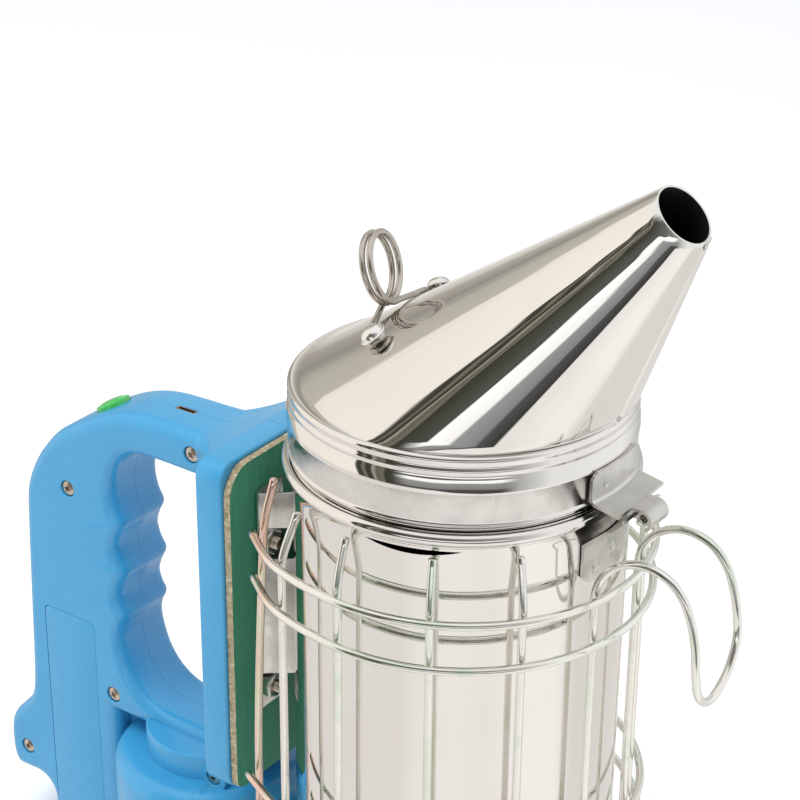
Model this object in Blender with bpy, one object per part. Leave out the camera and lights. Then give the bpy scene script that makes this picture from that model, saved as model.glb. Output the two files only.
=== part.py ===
"""Electric bee smoker: steel fire pot in a wire guard, hinged spout lid, blue blower handle.

Frame: origin on the floor under the pot axis, +X to the spout and hinge, -X to the handle, +Z up.
All driving dimensions are in millimetres and are scaled to metres when a mesh is made.
"""
import math

import bmesh
import bpy
from mathutils import Matrix, Vector

MM = 0.001
GAP = 0.3            # clearance between touching pieces
SEG = 40             # facets round the pot

# ---- fire pot
POT_R = 49.5         # outside radius of the pot wall
POT_WALL = 0.9
POT_BOTTOM = 1.2
POT_TOP = 208.0      # neck edge inside the lid skirt
RIM_R = 52.6         # rolled rim bead
RIM_LOW, RIM_TOP = 195.0, 201.0
CUP_R, CUP_TOP = 50.7, 12.0
INLET_Z, INLET_R, INLET_BORE = 36.0, 8.2, 7.2
INLET_X0, INLET_X1 = -70.0, -46.0
GRATE_Z, GRATE_R = 50.0, 47.4

# ---- wire guard
WIRE_R = 1.25
RING_R = 57.5
UPRIGHT_R = 54.7
RING_Z = (174.2, 159.6, 89.0, 74.4)
RING_END_AZ = 138.5  # where the hoop ends stop, beside the bracket, degrees
RING_REACH = (61.6, 61.6, 64.6, 64.6)
UPRIGHT_AZ = (38.0, 65.0, 95.0, 120.0, 140.0)
HOOK_Y = 12.2

# ---- lid
SKIRT_R, SKIRT_LOW, SKIRT_TOP = 51.0, 202.6, 212.0
BAND_TOP = 219.2
CONE_LOW_R, CONE_LOW_Z = 49.74, 220.9
MOUTH = (66.6, 287.2)
MOUTH_R, MOUTH_TILT = 9.17, 46.5
CONE_WALL = 0.8
COIL_C = (-26.2, -3.9, 250.8)
COIL_R, COIL_WIRE_R, COIL_TURNS, COIL_PITCH = 10.2, 0.95, 2.0, 2.5
COIL_LEAN, COIL_TURN = 18.0, 13.0      # degrees that the coil axis points up and towards +Y

# ---- hinge
PIN = (62.3, 197.6)
PIN_R, PIN_Y0, PIN_Y1 = 1.0, -6.0, 5.8
ROLL_R, ROLL_BORE, ROLL_Y0, ROLL_Y1 = 3.4, 2.5, -5.0, 4.8
LEAF_Y0, LEAF_Y1, LEAF_T = -12.2, 12.8, 0.9

# ---- bracket and board
BOARD_X0, BOARD_X1 = -63.2, -60.8
BOARD_Y, BOARD_Z0, BOARD_Z1 = 33.0, 71.0, 186.0
BRACKET_Z0, BRACKET_Z1 = 97.0, 175.0
BOLT_Y, BOLT_Z = 18.5, (105.5, 157.5)

# ---- housing
H_HALF = 13.0        # half thickness of the handle
H_ROUND = 4.5
H_WALL = 2.3
SPLIT = 0.15         # half of the seam gap
FLANGE_X0, FLANGE_X1, FLANGE_Y = -73.5, -63.5, 34.0
FLANGE_Z0, FLANGE_Z1 = 70.0, 187.0
DRUM_X, DRUM_R, DRUM_Z0, DRUM_Z1 = -98.0, 34.0, 14.0, 57.0
NECK_R, NECK_Z1 = 23.0, 66.0
OUTER = ((-70, 182.6), (-85, 181.6), (-97, 181.0), (-106, 180.8), (-115, 180.3), (-123, 178.8),
         (-130, 176.3), (-136, 173.4), (-143, 169.3), (-151.7, 163.6), (-159, 155.6), (-163.9, 148),
         (-166.9, 140.6), (-168.1, 134.0), (-170.0, 92.7), (-171.0, 67.5), (-171.9, 57.0),
         (-173.5, 52.0), (-177.3, 47.4), (-181.8, 42.3), (-183.8, 38.0), (-184.4, 30.5),
         (-183.6, 23.5), (-181.0, 19.9), (-170.5, 19.6), (-167.2, 18.0), (-164.8, 14.0),
         (-164.8, 6.5), (-163.2, 2.0), (-158.8, 0.0), (-131.5, 0.0), (-131.5, 62.0), (-70, 62.0))
OPENING = ((-66, 165.7), (-90, 165.7), (-108, 165.9), (-117, 165.4), (-122, 163.4), (-125.8, 159.3),
           (-128.0, 153.5), (-128.8, 147.0), (-127.6, 141.0), (-125.4, 136.4), (-127.4, 131.8),
           (-128.7, 127.3), (-127.6, 122.6), (-125.3, 118.2), (-127.4, 113.2), (-128.8, 108.4),
           (-127.8, 104.6), (-126.0, 101.2), (-127.8, 97.0), (-128.6, 92.5), (-127.6, 86.5),
           (-125.0, 79.6), (-120.4, 73.8), (-114.0, 70.3), (-106, 69.0), (-66, 69.0))
BUTTON = (-136.4, 173.6)
BUTTON_TILT = 29.5   # degrees that the button axis leans back from vertical
BUTTON_R = 5.8
USB = (-104.9, 180.9)
SCREWS = ((-147.2, 144.3), (-131.6, 69.2), (-175.0, 30.3), (-92.9, 173.6), (-82.3, 59.6))
BOSS_Y = 20.0        # face of the boss under the last screw
DOOR = (-161.5, -138.7, 6.0, 95.0)
CELL_X, CELL_R, CELL_Z0, CELL_Z1 = -150.1, 9.2, 18.5, 83.5


def clear_scene():
    for obj in list(bpy.data.objects):
        bpy.data.objects.remove(obj, do_unlink=True)


def material(name, colour, metallic=0.0, roughness=0.4):
    mat = bpy.data.materials.new(name)
    mat.use_nodes = True
    shader = mat.node_tree.nodes["Principled BSDF"]
    shader.inputs["Base Color"].default_value = (*colour, 1.0)
    shader.inputs["Metallic"].default_value = metallic
    shader.inputs["Roughness"].default_value = roughness
    return mat


PAINT = {
    "steel": ((0.80, 0.79, 0.77), 1.0, 0.12),
    "dull_steel": ((0.62, 0.61, 0.59), 1.0, 0.30),
    "zinc": ((0.66, 0.64, 0.58), 1.0, 0.25),
    "blue": ((0.10, 0.42, 0.78), 0.0, 0.35),
    "green_board": ((0.03, 0.18, 0.09), 0.0, 0.55),
    "green_button": ((0.05, 0.50, 0.10), 0.0, 0.30),
    "black": ((0.02, 0.02, 0.02), 0.0, 0.45),
    "white": ((0.80, 0.80, 0.76), 0.0, 0.50),
}


def new_object(name, bm, paint=None, origin=(0, 0, 0), scale=MM):
    """A mesh object from a bmesh in millimetres. Without paint it is a hidden cutter."""
    bmesh.ops.recalc_face_normals(bm, faces=bm.faces)
    if bm.calc_volume(signed=True) < 0:
        bmesh.ops.reverse_faces(bm, faces=bm.faces)
    o = Vector(origin)
    for v in bm.verts:
        v.co = (v.co - o) * scale
    mesh = bpy.data.meshes.new(name)
    bm.to_mesh(mesh)
    bm.free()
    obj = bpy.data.objects.new(name, mesh)
    obj.location = o * scale
    bpy.context.scene.collection.objects.link(obj)
    if paint:
        colour, metallic, roughness = PAINT[paint]
        mesh.materials.append(material(name + "_paint", colour, metallic, roughness))
    else:
        obj.hide_render = True
        obj.display_type = "WIRE"
    return obj


def boolean(obj, other, operation="DIFFERENCE"):
    mod = obj.modifiers.new(f"{operation.lower()}_{other.name}", "BOOLEAN")
    mod.operation = operation
    mod.solver = "EXACT"
    mod.object = other
    return mod


def parent_to(child, parent):
    child.parent = parent
    child.matrix_parent_inverse = Matrix.Translation(-parent.location)


# ---- shape makers; each returns a closed bmesh in millimetres

def loft(loops, cap=True, closed=False):
    """Quads between successive loops of equal count; flat caps at both ends, or joined end to end."""
    bm = bmesh.new()
    rows = [[bm.verts.new(p) for p in loop] for loop in loops]
    n = len(rows[0])
    pairs = list(zip(rows, rows[1:]))
    if closed:
        pairs.append((rows[-1], rows[0]))
    for a, b in pairs:
        for i in range(n):
            j = (i + 1) % n
            bm.faces.new((a[i], a[j], b[j], b[i]))
    if cap and not closed:
        caps = [bm.faces.new(rows[0]), bm.faces.new(rows[-1])]
        for face in caps:
            face.normal_update()
        bmesh.ops.triangulate(bm, faces=caps)
    return bm


def revolve(profile, seg=SEG, centre=(0.0, 0.0)):
    """Closed (radius, z) profile turned about a vertical axis; points on the axis become one vertex."""
    bm = bmesh.new()
    rows = []
    for r, z in profile:
        if r < 1e-6:
            rows.append([bm.verts.new((centre[0], centre[1], z))])
        else:
            rows.append([bm.verts.new((centre[0] + r * math.cos(2 * math.pi * k / seg),
                                       centre[1] + r * math.sin(2 * math.pi * k / seg), z))
                         for k in range(seg)])
    for i, a in enumerate(rows):
        b = rows[(i + 1) % len(rows)]
        if len(a) == 1 and len(b) == 1:
            continue
        for k in range(seg):
            m = (k + 1) % seg
            if len(a) == 1:
                bm.faces.new((a[0], b[k], b[m]))
            elif len(b) == 1:
                bm.faces.new((a[k], a[m], b[0]))
            else:
                bm.faces.new((a[k], a[m], b[m], b[k]))
    return bm


def turned(profile, axis_point, direction, seg=16):
    """Closed (radius, height) profile turned about any line."""
    bm = revolve(profile, seg)
    turn = Vector((0, 0, 1)).rotation_difference(Vector(direction).normalized())
    bmesh.ops.transform(bm, matrix=Matrix.Translation(axis_point) @ turn.to_matrix().to_4x4(),
                        verts=bm.verts)
    return bm


def cylinder(p0, p1, r, seg=16):
    p0, p1 = Vector(p0), Vector(p1)
    h = (p1 - p0).length
    return turned(((0, 0), (r, 0), (r, h), (0, h)), p0, p1 - p0, seg)


def tube(p0, p1, r, bore, seg=16):
    p0, p1 = Vector(p0), Vector(p1)
    h = (p1 - p0).length
    return turned(((bore, 0), (r, 0), (r, h), (bore, h)), p0, p1 - p0, seg)


def box(x0, x1, y0, y1, z0, z1):
    bm = bmesh.new()
    bmesh.ops.create_cube(bm, size=1.0)
    for v in bm.verts:
        v.co = Vector(((x0 + x1) / 2 + v.co.x * (x1 - x0), (y0 + y1) / 2 + v.co.y * (y1 - y0),
                       (z0 + z1) / 2 + v.co.z * (z1 - z0)))
    return bm


def wire(points, r, sides=6, closed=False):
    """Round wire swept along a path with frames carried forward."""
    pts = [Vector(p) for p in points]
    n = len(pts)
    tangents = []
    for i in range(n):
        a = pts[i - 1] if (i or closed) else pts[0]
        b = pts[(i + 1) % n] if (i < n - 1 or closed) else pts[-1]
        tangents.append((b - a).normalized())
    side = tangents[0].orthogonal().normalized()
    loops = []
    for p, t in zip(pts, tangents):
        side = (side - t * side.dot(t)).normalized()
        up = t.cross(side)
        loops.append([p + r * (math.cos(2 * math.pi * k / sides) * side
                               + math.sin(2 * math.pi * k / sides) * up) for k in range(sides)])
    return loft(loops, closed=closed)


def prism_xz(outline, y0, y1):
    return loft([[(x, y, z) for x, z in outline] for y in (y0, y1)])


def prism_yz(outline, x0, x1):
    return loft([[(x, y, z) for y, z in outline] for x in (x0, x1)])


def offset(outline, d):
    """Moves a closed clockwise-or-not outline inward by d (outward when negative), by corner bisectors."""
    n = len(outline)
    area = sum(outline[i][0] * outline[(i + 1) % n][1] - outline[(i + 1) % n][0] * outline[i][1]
               for i in range(n))
    sign = 1.0 if area > 0 else -1.0
    moved = []
    for i in range(n):
        p, a, b = (Vector(outline[k]) for k in (i, i - 1, (i + 1) % n))
        e0, e1 = (p - a).normalized(), (b - p).normalized()
        n0, n1 = Vector((-e0.y, e0.x)) * sign, Vector((-e1.y, e1.x)) * sign
        mid = (n0 + n1).normalized()
        moved.append(p + mid * (d / max(0.5, mid.dot(n0))))
    return [(q.x, q.y) for q in moved]


def rounded_slab(outline, half, radius, steps=3):
    """Outline in the XZ plane, thick from -half to half in Y, with rounded side edges."""
    stations = []
    for k in range(steps + 1):
        a = math.pi / 2 * k / steps
        stations.append((half - radius * (1 - math.sin(a)), radius * (1 - math.cos(a))))
    both = [(-y, d) for y, d in reversed(stations)] + stations
    return loft([[(x, y, z) for x, z in offset(outline, d)] for y, d in both])


# ---- fire pot

def pot_profile():
    r, w = POT_R, POT_WALL
    return ((0, POT_BOTTOM), (r - 1.2, POT_BOTTOM), (r, POT_BOTTOM + 1.2), (r, RIM_LOW - 2.0),
            (r + 1.3, RIM_LOW), (RIM_R - 0.2, RIM_LOW + 1.4), (RIM_R, RIM_LOW + 3.4),
            (RIM_R - 0.4, RIM_TOP - 0.4), (r + 1.6, RIM_TOP), (r, RIM_TOP + 0.4), (r, POT_TOP),
            (r - w, POT_TOP), (r - w, POT_BOTTOM + 1.2), (r - w - 0.3, POT_BOTTOM + w), (0, POT_BOTTOM + w))


def build_pot():
    pot = new_object("fire_pot", revolve(pot_profile()), "steel")
    hole = cylinder((-60, 0, INLET_Z), (-40, 0, INLET_Z), INLET_R + GAP, 20)
    boolean(pot, new_object("cut_pot_inlet", hole))
    cup = ((0, 0), (CUP_R - 0.8, 0), (CUP_R, 0.8), (CUP_R, CUP_TOP), (POT_R + GAP, CUP_TOP),
           (POT_R + GAP, POT_BOTTOM + 0.9), (POT_R - 1.0, POT_BOTTOM - GAP), (0, POT_BOTTOM - GAP))
    new_object("pot_base_cup", revolve(cup), "dull_steel")
    pipe = tube((INLET_X0, 0, INLET_Z), (INLET_X1, 0, INLET_Z), INLET_R, INLET_BORE, 20)
    new_object("air_inlet_tube", pipe, "dull_steel")
    build_grate()


def build_grate():
    """Disc with a turned-down edge, two rings of holes and a lifting knob, standing on three pegs."""
    r, z = GRATE_R, GRATE_Z
    disc = ((0, z), (r - 1.0, z), (r - 1.0, z - 4), (r, z - 4), (r, z + 1.0), (3.2, z + 1.0),
            (3.2, z + 6), (0, z + 6))
    grate = new_object("fire_grate", revolve(disc), "dull_steel")
    for k in range(3):
        a = math.radians(60 + 120 * k)
        x, y = 36 * math.cos(a), 36 * math.sin(a)
        peg = cylinder((x, y, POT_BOTTOM + POT_WALL + GAP), (x, y, z + 0.5), 2.0, 8)
        boolean(grate, new_object(f"add_peg_{k}", peg), "UNION")
    holes = bmesh.new()
    for ring_r, count in ((15.0, 6), (27.0, 9)):
        for k in range(count):
            a = 2 * math.pi * (k + 0.5) / count
            c = Matrix.Translation((ring_r * math.cos(a), ring_r * math.sin(a), z + 0.5))
            bmesh.ops.create_cone(holes, cap_ends=True, segments=8, radius1=3.0, radius2=3.0,
                                  depth=4.0, matrix=c)
    boolean(grate, new_object("cut_grate_holes", holes))


# ---- wire guard

def on_circle(r, degrees, z):
    a = math.radians(degrees)
    return (r * math.cos(a), r * math.sin(a), z)


def ring_path(z, reach, steps=32):
    """Hoop round the pot whose ends run on straight past the bracket."""
    path = [on_circle(RING_R, -98 + 196 * i / steps, z) for i in range(steps + 1)]
    tail = [(110, 58.4), (122, 59.9), (RING_END_AZ, reach)]
    return ([on_circle(r, -az, z) for az, r in reversed(tail)] + path
            + [on_circle(r, az, z) for az, r in tail])


def build_guard():
    for k, (z, reach) in enumerate(zip(RING_Z, RING_REACH)):
        new_object(f"guard_ring_{k + 1}", wire(ring_path(z, reach), WIRE_R), "zinc")
    azimuths = list(UPRIGHT_AZ) + [-a for a in UPRIGHT_AZ]
    for k, az in enumerate(azimuths):
        new_object(f"guard_wire_{k + 1}", wire(upright_path(az), WIRE_R), "zinc")
    new_object("guard_hook", wire(hook_path(), WIRE_R), "zinc")


def foot_points(az):
    """Lower end of an upright, bent in against the foot cup."""
    return [on_circle(CUP_R + WIRE_R + GAP, az, 2.5), on_circle(CUP_R + WIRE_R + 0.5, az, 8.0),
            on_circle(UPRIGHT_R, az, 18.0)]


def upright_path(az):
    """One upright of the guard; those near the bracket bow out to pass it."""
    if abs(az) > 130:
        rise = ((56.0, 20), (60.3, 40), (61.0, 70), (60.8, 108), (58.6, 165), (57.6, 178), (54.7, 191))
        return foot_points(az)[:2] + [on_circle(r, az, z) for r, z in rise]
    if abs(az) > 110:
        return foot_points(az) + [on_circle(r, az, z) for r, z in ((57.0, 60), (57.0, 176), (51.8, 189.5))]
    top = [on_circle(UPRIGHT_R, az, 178.0), on_circle(UPRIGHT_R - 0.8, az, 181.5),
           on_circle(51.2, az, 191.5)]
    return foot_points(az) + top


def hook_arm():
    """One side of the hook in the XZ plane, from the upright to just above the loop."""
    return [(53.3, 168.0), (53.4, 175.0), (55.2, 180.5), (59.2, 185.2), (65.0, 188.2), (71.0, 188.6),
            (76.6, 186.6), (81.0, 182.0), (83.6, 176.0), (85.3, 169.0), (86.1, 161.0)]


def hook_path():
    az = math.degrees(math.asin(HOOK_Y / UPRIGHT_R))
    arm = hook_arm()
    near = [(x, -HOOK_Y, z) for x, z in arm]
    far = [(x, HOOK_Y, z) for x, z in reversed(arm)]
    loop = [(86.5, -11.0, 154.0), (86.6, -7.2, 149.1), (86.6, -2.0, 147.5), (86.6, 3.6, 149.5),
            (86.5, 8.6, 153.7)]
    return foot_points(-az) + near + loop + far + list(reversed(foot_points(az)))


# ---- lid

def mouth_loop(r, back=0.0, seg=SEG):
    """Circle at the spout mouth, moved back along its axis."""
    t = math.radians(MOUTH_TILT)
    axis = Vector((math.cos(t), 0, math.sin(t)))
    down, side = Vector((math.sin(t), 0, -math.cos(t))), Vector((0, 1, 0))
    centre = Vector((MOUTH[0], 0, MOUTH[1])) - axis * back
    return [centre + r * (math.cos(2 * math.pi * k / seg) * down + math.sin(2 * math.pi * k / seg) * side)
            for k in range(seg)]


def base_loop(r, z, seg=SEG):
    return [Vector(on_circle(r, 360 * k / seg, z)) for k in range(seg)]


def blend(a, b, t):
    return [p.lerp(q, t) for p, q in zip(a, b)]


def cone_point(degrees, t):
    """Point on the outer cone surface: t from 0 at the base to 1 at the mouth."""
    a, c = math.radians(degrees), math.radians(MOUTH_TILT)
    base = Vector((CONE_LOW_R * math.cos(a), CONE_LOW_R * math.sin(a), CONE_LOW_Z))
    down = Vector((math.sin(c), 0, -math.cos(c)))
    rim = Vector((MOUTH[0], 0, MOUTH[1])) + MOUTH_R * (math.cos(a) * down + math.sin(a) * Vector((0, 1, 0)))
    return base.lerp(rim, t)


def cone_normal(degrees, t):
    du = cone_point(degrees, t + 0.01) - cone_point(degrees, t - 0.01)
    dv = cone_point(degrees + 1, t) - cone_point(degrees - 1, t)
    n = du.cross(dv).normalized()
    return n if n.z > 0 else -n


def build_cone(lid):
    w = CONE_WALL
    outer = [base_loop(50.3, BAND_TOP + GAP)]
    low, top = base_loop(CONE_LOW_R, CONE_LOW_Z), mouth_loop(MOUTH_R)
    outer += [blend(low, top, t) for t in (0, 0.25, 0.5, 0.75, 1)]
    low, top = base_loop(CONE_LOW_R - w, CONE_LOW_Z - 0.3), mouth_loop(MOUTH_R - w, 0.1)
    inner = [blend(low, top, t) for t in (1, 0.75, 0.5, 0.25, 0)]
    inner.append(base_loop(50.3 - w, BAND_TOP + GAP))
    cone = new_object("spout_cone", loft(outer + inner, closed=True), "steel", PIN_ORIGIN)
    parent_to(cone, lid)
    for name, az, t in RIVETS:
        p, n = cone_point(az, t), cone_normal(az, t)
        hole = cylinder(p - n * 3, p + n * 3, 1.7, 8)
        boolean(cone, new_object(f"cut_{name}", hole))


RIVETS = (("lid_rivet_right", -140.0, 0.26), ("lid_rivet_left", 149.0, 0.19))
PIN_ORIGIN = (PIN[0], 0.0, PIN[1])


def build_rivets(lid):
    head = ((0, -2.2), (1.4, -2.2), (1.4, 2.4), (3.7, 2.4), (3.5, 3.6), (2.6, 4.6), (0, 5.1))
    for name, az, t in RIVETS:
        rivet = new_object(name, turned(head, cone_point(az, t), cone_normal(az, t), 14), "steel", PIN_ORIGIN)
        parent_to(rivet, lid)


def eye_loop(az, t, start, sense):
    """Three quarters of a turn of wire round a rivet shank, from the side facing the start point."""
    p, n = cone_point(az, t), cone_normal(az, t)
    centre = p + n * 1.28
    e = (start - centre)
    e = (e - n * e.dot(n)).normalized()
    f = n.cross(e) * sense
    r = 1.4 + COIL_WIRE_R + 0.25
    loop = [centre + r * (math.cos(a) * e + math.sin(a) * f)
            for a in (math.radians(d) for d in (285, 240, 195, 150, 105, 62))]
    return loop + [centre + 5.4 * e + 1.7 * f + 0.25 * n]


def coil_points():
    lean, turn = math.radians(COIL_LEAN), math.radians(COIL_TURN)
    n = Vector((math.cos(lean) * math.cos(turn), math.cos(lean) * math.sin(turn), math.sin(lean)))
    side = Vector((0, 0, 1)).cross(n).normalized()
    up = n.cross(side)
    pts = []
    for i in range(37):
        f = i / 36
        a = 2 * math.pi * COIL_TURNS * f - math.pi * 0.5
        along = COIL_PITCH * COIL_TURNS * (f - 0.5)
        pts.append(Vector(COIL_C) + n * along + COIL_R * (math.cos(a) * side + math.sin(a) * up))
    return pts


def build_coil(lid):
    coil = coil_points()
    (_, az_r, t_r), (_, az_l, t_l) = RIVETS
    first = eye_loop(az_r, t_r, coil[0], 1)
    last = eye_loop(az_l, t_l, coil[-1], -1)
    path = first + [first[-1].lerp(coil[0], 0.5)] + coil
    path += [coil[-1].lerp(last[-1], 0.5)] + list(reversed(last))
    handle = new_object("coil_handle", wire(path, COIL_WIRE_R), "dull_steel", PIN_ORIGIN)
    parent_to(handle, lid)


def build_band(lid):
    r, t = SKIRT_R, SKIRT_TOP
    bore = POT_R + 0.65
    profile = ((r, SKIRT_LOW), (r, t), (r - 0.4, t + 0.1), (r - 0.4, t + 3.2), (r + 0.2, t + 3.9),
               (r - 0.2, t + 4.9), (r + 0.1, t + 5.7), (r - 0.5, BAND_TOP), (bore - 0.7, BAND_TOP),
               (bore - 0.7, t + 0.4), (bore, t - 0.4), (bore, SKIRT_LOW))
    band = new_object("lid_band", revolve(profile), "steel", PIN_ORIGIN)
    parent_to(band, lid)


# ---- hinge

def leaf_stations():
    return [LEAF_Y0 + (LEAF_Y1 - LEAF_Y0) * k / 6 for k in range(7)]


def build_upper_leaf(lid):
    loops = []
    for y in leaf_stations():
        x = math.sqrt((SKIRT_R + GAP) ** 2 - y * y)
        loops.append([(x, y, 202.9), (x, y, 211.6), (x + LEAF_T, y, 211.6), (x + LEAF_T, y, 203.1),
                      (60.0, y, 201.0), (60.0, y, 200.1), (x + 1.6, y, 201.9)])
    leaf = new_object("hinge_leaf_upper", loft(loops), "dull_steel", PIN_ORIGIN)
    parent_to(leaf, lid)
    roll = [(57.0, PIN[1] + ROLL_R), (PIN[0], PIN[1] + ROLL_R)]
    roll += [(PIN[0] + ROLL_R * math.sin(a), PIN[1] + ROLL_R * math.cos(a))
             for a in (math.radians(d) for d in (25, 50, 75, 100, 125, 150))]
    roll += [(PIN[0] + ROLL_BORE * math.sin(a), PIN[1] + ROLL_BORE * math.cos(a))
             for a in (math.radians(d) for d in (150, 125, 100, 75, 50, 25, 0))]
    roll.append((57.0, PIN[1] + ROLL_BORE))
    tab = new_object("add_leaf_roll", prism_xz(roll, ROLL_Y0, ROLL_Y1))
    boolean(leaf, tab, "UNION")


def build_lower_leaf():
    loops = []
    for y in leaf_stations():
        x = math.sqrt((POT_R + GAP) ** 2 - y * y)
        loops.append([(x, y, 176.0), (x, y, 188.6), (59.2, y, 198.6), (59.9, y, 198.0),
                      (x + LEAF_T + 0.4, y, 188.3), (x + LEAF_T, y, 187.6), (x + LEAF_T, y, 176.0)])
    leaf = new_object("hinge_leaf_lower", loft(loops), "dull_steel")
    r, b = 2.1, PIN_R + GAP
    lug = tube((PIN[0], -3.4, PIN[1]), (PIN[0], 3.2, PIN[1]), r, b, 14)
    arm = box(58.4, PIN[0] - b - 0.15, -3.2, 3.0, PIN[1] - 0.7, PIN[1] + 0.3)
    boolean(leaf, new_object("add_leaf_arm", arm), "UNION")
    boolean(leaf, new_object("add_leaf_lug", lug), "UNION")
    pin = cylinder((PIN[0], PIN_Y0, PIN[1]), (PIN[0], PIN_Y1, PIN[1]), PIN_R, 12)
    new_object("hinge_pin", pin, "zinc")


# ---- bracket, bolts and board

def bracket_outline():
    """Hat section seen from above: pad on the pot, flared webs, feet turned in against the board."""
    r = POT_R + GAP
    line = [(-60.0, -9.0), (-60.0, -20.6), (-59.2, -21.4), (-50.0, -14.6)]
    line += [(-math.sqrt((r + 0.5) ** 2 - y * y), y) for y in (-12.0, -8.0, -4.0, 0.0, 4.0, 8.0, 12.0)]
    line += [(x, -y) for x, y in reversed(line[:4])]
    left, right = [], []
    for i, p in enumerate(line):
        a, b = line[max(0, i - 1)], line[min(len(line) - 1, i + 1)]
        d = Vector((b[0] - a[0], b[1] - a[1])).normalized() * 0.5
        left.append((p[0] - d.y, p[1] + d.x))
        right.append((p[0] + d.y, p[1] - d.x))
    return left + right[::-1]


def build_bracket():
    outline = bracket_outline()
    body = loft([[(x, y, z) for x, y in outline] for z in (BRACKET_Z0, BRACKET_Z1)])
    bracket = new_object("mounting_bracket", body, "dull_steel")
    boolean(bracket, new_object("cut_bracket_foot", box(-59.4, -40, -40, 40, 90, 110.8)))
    boolean(bracket, new_object("cut_bracket_arch", box(-59.4, -40, -40, 40, 152.0, 163.0)))
    for k, (y, z) in enumerate(bolt_places()):
        boolean(bracket, new_object(f"cut_bolt_{k}", cylinder((-75, y, z), (-57, y, z), 2.3, 10)))


def bolt_places():
    return [(y, z) for z in BOLT_Z for y in (-BOLT_Y, BOLT_Y)]


def build_bolts():
    for k, (y, z) in enumerate(bolt_places()):
        x = FLANGE_X0 - GAP
        shape = ((0, -3.0), (3.4, -2.4), (4.2, -1.4), (4.2, 0), (2.0, 0), (2.0, 20.4), (0, 20.4))
        new_object(f"bracket_bolt_{k + 1}", turned(shape, (x, y, z), (1, 0, 0), 12), "zinc")
        x = -59.5 + GAP
        nut = turned(((2.3, 0), (4.5, 0), (4.5, 3.8), (2.3, 3.8)), (x, y, z), (1, 0, 0), 6)
        new_object(f"bracket_nut_{k + 1}", nut, "zinc")


def board_outline(w, z0, z1, top, low):
    half = [(w - low, z0), (w - 0.3 * low, z0 + 0.3 * low), (w, z0 + low), (w, z1 - top),
            (w - 0.3 * top, z1 - 0.3 * top), (w - top, z1)]
    return half + [(-y, z) for y, z in reversed(half)]


def build_board():
    board = new_object("heat_board", prism_yz(board_outline(BOARD_Y, BOARD_Z0, BOARD_Z1, 10, 4),
                                              BOARD_X0, BOARD_X1), "green_board")
    for k in range(4):
        boolean(board, bpy.data.objects[f"cut_bolt_{k}"])


# ---- housing

def housing_solids():
    """Hidden helpers that the two shells share."""
    make = {}
    make["opening"] = opening_cutter()
    make["flange"] = prism_yz(board_outline(FLANGE_Y, FLANGE_Z0, FLANGE_Z1, 10, 6), FLANGE_X0, FLANGE_X1)
    r, z = DRUM_R, DRUM_Z1
    make["drum"] = revolve(((0, DRUM_Z0), (r, DRUM_Z0), (r, z - 6), (r - 1.8, z - 2), (r - 6, z), (0, z)),
                           36, (DRUM_X, 0))
    make["neck"] = revolve(((0, 50), (NECK_R, 50), (NECK_R, NECK_Z1), (0, NECK_Z1)), 28, (DRUM_X, 0))
    make["nozzle"] = cylinder((-90, 0, INLET_Z), (-58.5, 0, INLET_Z), INLET_R + 2.4, 22)
    make["flare"] = loft([flare_section(k / 5) for k in range(6)])
    make["cavity"] = prism_xz(cavity_outline(), -(H_HALF - H_WALL), H_HALF - H_WALL)
    make["drum_room"] = revolve(((0, DRUM_Z0 - 1), (r - 2.4, DRUM_Z0 - 1), (r - 2.4, z - 5.4),
                                 (r - 6.6, z - 2.4), (0, z - 2.4)), 36, (DRUM_X, 0))
    make["neck_room"] = revolve(((0, 50.5), (12.4, 50.5), (12.4, 63.0), (0, 63.0)), 20, (DRUM_X, 0))
    make["nozzle_bore"] = cylinder((-84.7, 0, INLET_Z), (-50, 0, INLET_Z), INLET_R + GAP, 24)
    make["button_hole"] = button_cylinder(BUTTON_R + 0.35, -8, 8)
    make["usb_hole"] = box(USB[0] - 4.15, USB[0] + 4.15, -1.75, 1.75, USB[1] - 9, USB[1] + 6)
    make["door_hole"] = door_prism(0.0, -H_HALF - 3, -H_HALF + H_WALL + 3)
    make["web"] = box(-133, -112, -5, 5, 50, 63)
    make["boss"] = cylinder((SCREWS[4][0], -8, SCREWS[4][1]), (SCREWS[4][0], -BOSS_Y, SCREWS[4][1]), 5.2, 14)
    return {k: new_object("housing_" + k + "_tool", bm) for k, bm in make.items()}


def flare_section(t):
    """Cross section of the shoulder that spreads from the handle top to the flange."""
    x, f = -95.0 + (FLANGE_X0 + 1.0 + 95.0) * t, t ** 1.8
    w, top, r = 12.0 + 21.0 * f, 180.2 + 6.3 * f, 4.0 + f
    half = [(w, 172.0 - 2 * f), (w, top - r), (w - 0.3 * r, top - 0.3 * r), (w - r, top)]
    return [(x, y, z) for y, z in half + [(-y, z) for y, z in reversed(half)]]


def opening_cutter():
    steps = ((-H_HALF - 2, 4.5), (-H_HALF, 3.6), (-H_HALF + 1.6, 1.2), (-H_HALF + 4.0, 0.0))
    both = list(steps) + [(-y, d) for y, d in reversed(steps)]
    return loft([[(x, y, z) for x, z in offset(OPENING, -d)] for y, d in both])


def cavity_outline():
    inner = offset(OUTER, H_WALL)[1:29]
    inner[0] = (-78.0, 179.0)
    guard = offset(OPENING, -H_WALL)[1:24]
    rear = [p for p in guard if p[0] < -84]
    floor = [(-133.8, 2.4), (-133.8, 70.0)]
    return inner + floor + [p for p in reversed(rear) if p[1] > 72] + [(-78.0, 168.0)]


def button_axis():
    t = math.radians(BUTTON_TILT)
    return Vector((-math.sin(t), 0, math.cos(t)))


def button_cylinder(r, h0, h1, seg=20):
    c, n = Vector((BUTTON[0], 0, BUTTON[1])), button_axis()
    return cylinder(c + n * h0, c + n * h1, r, seg)


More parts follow.
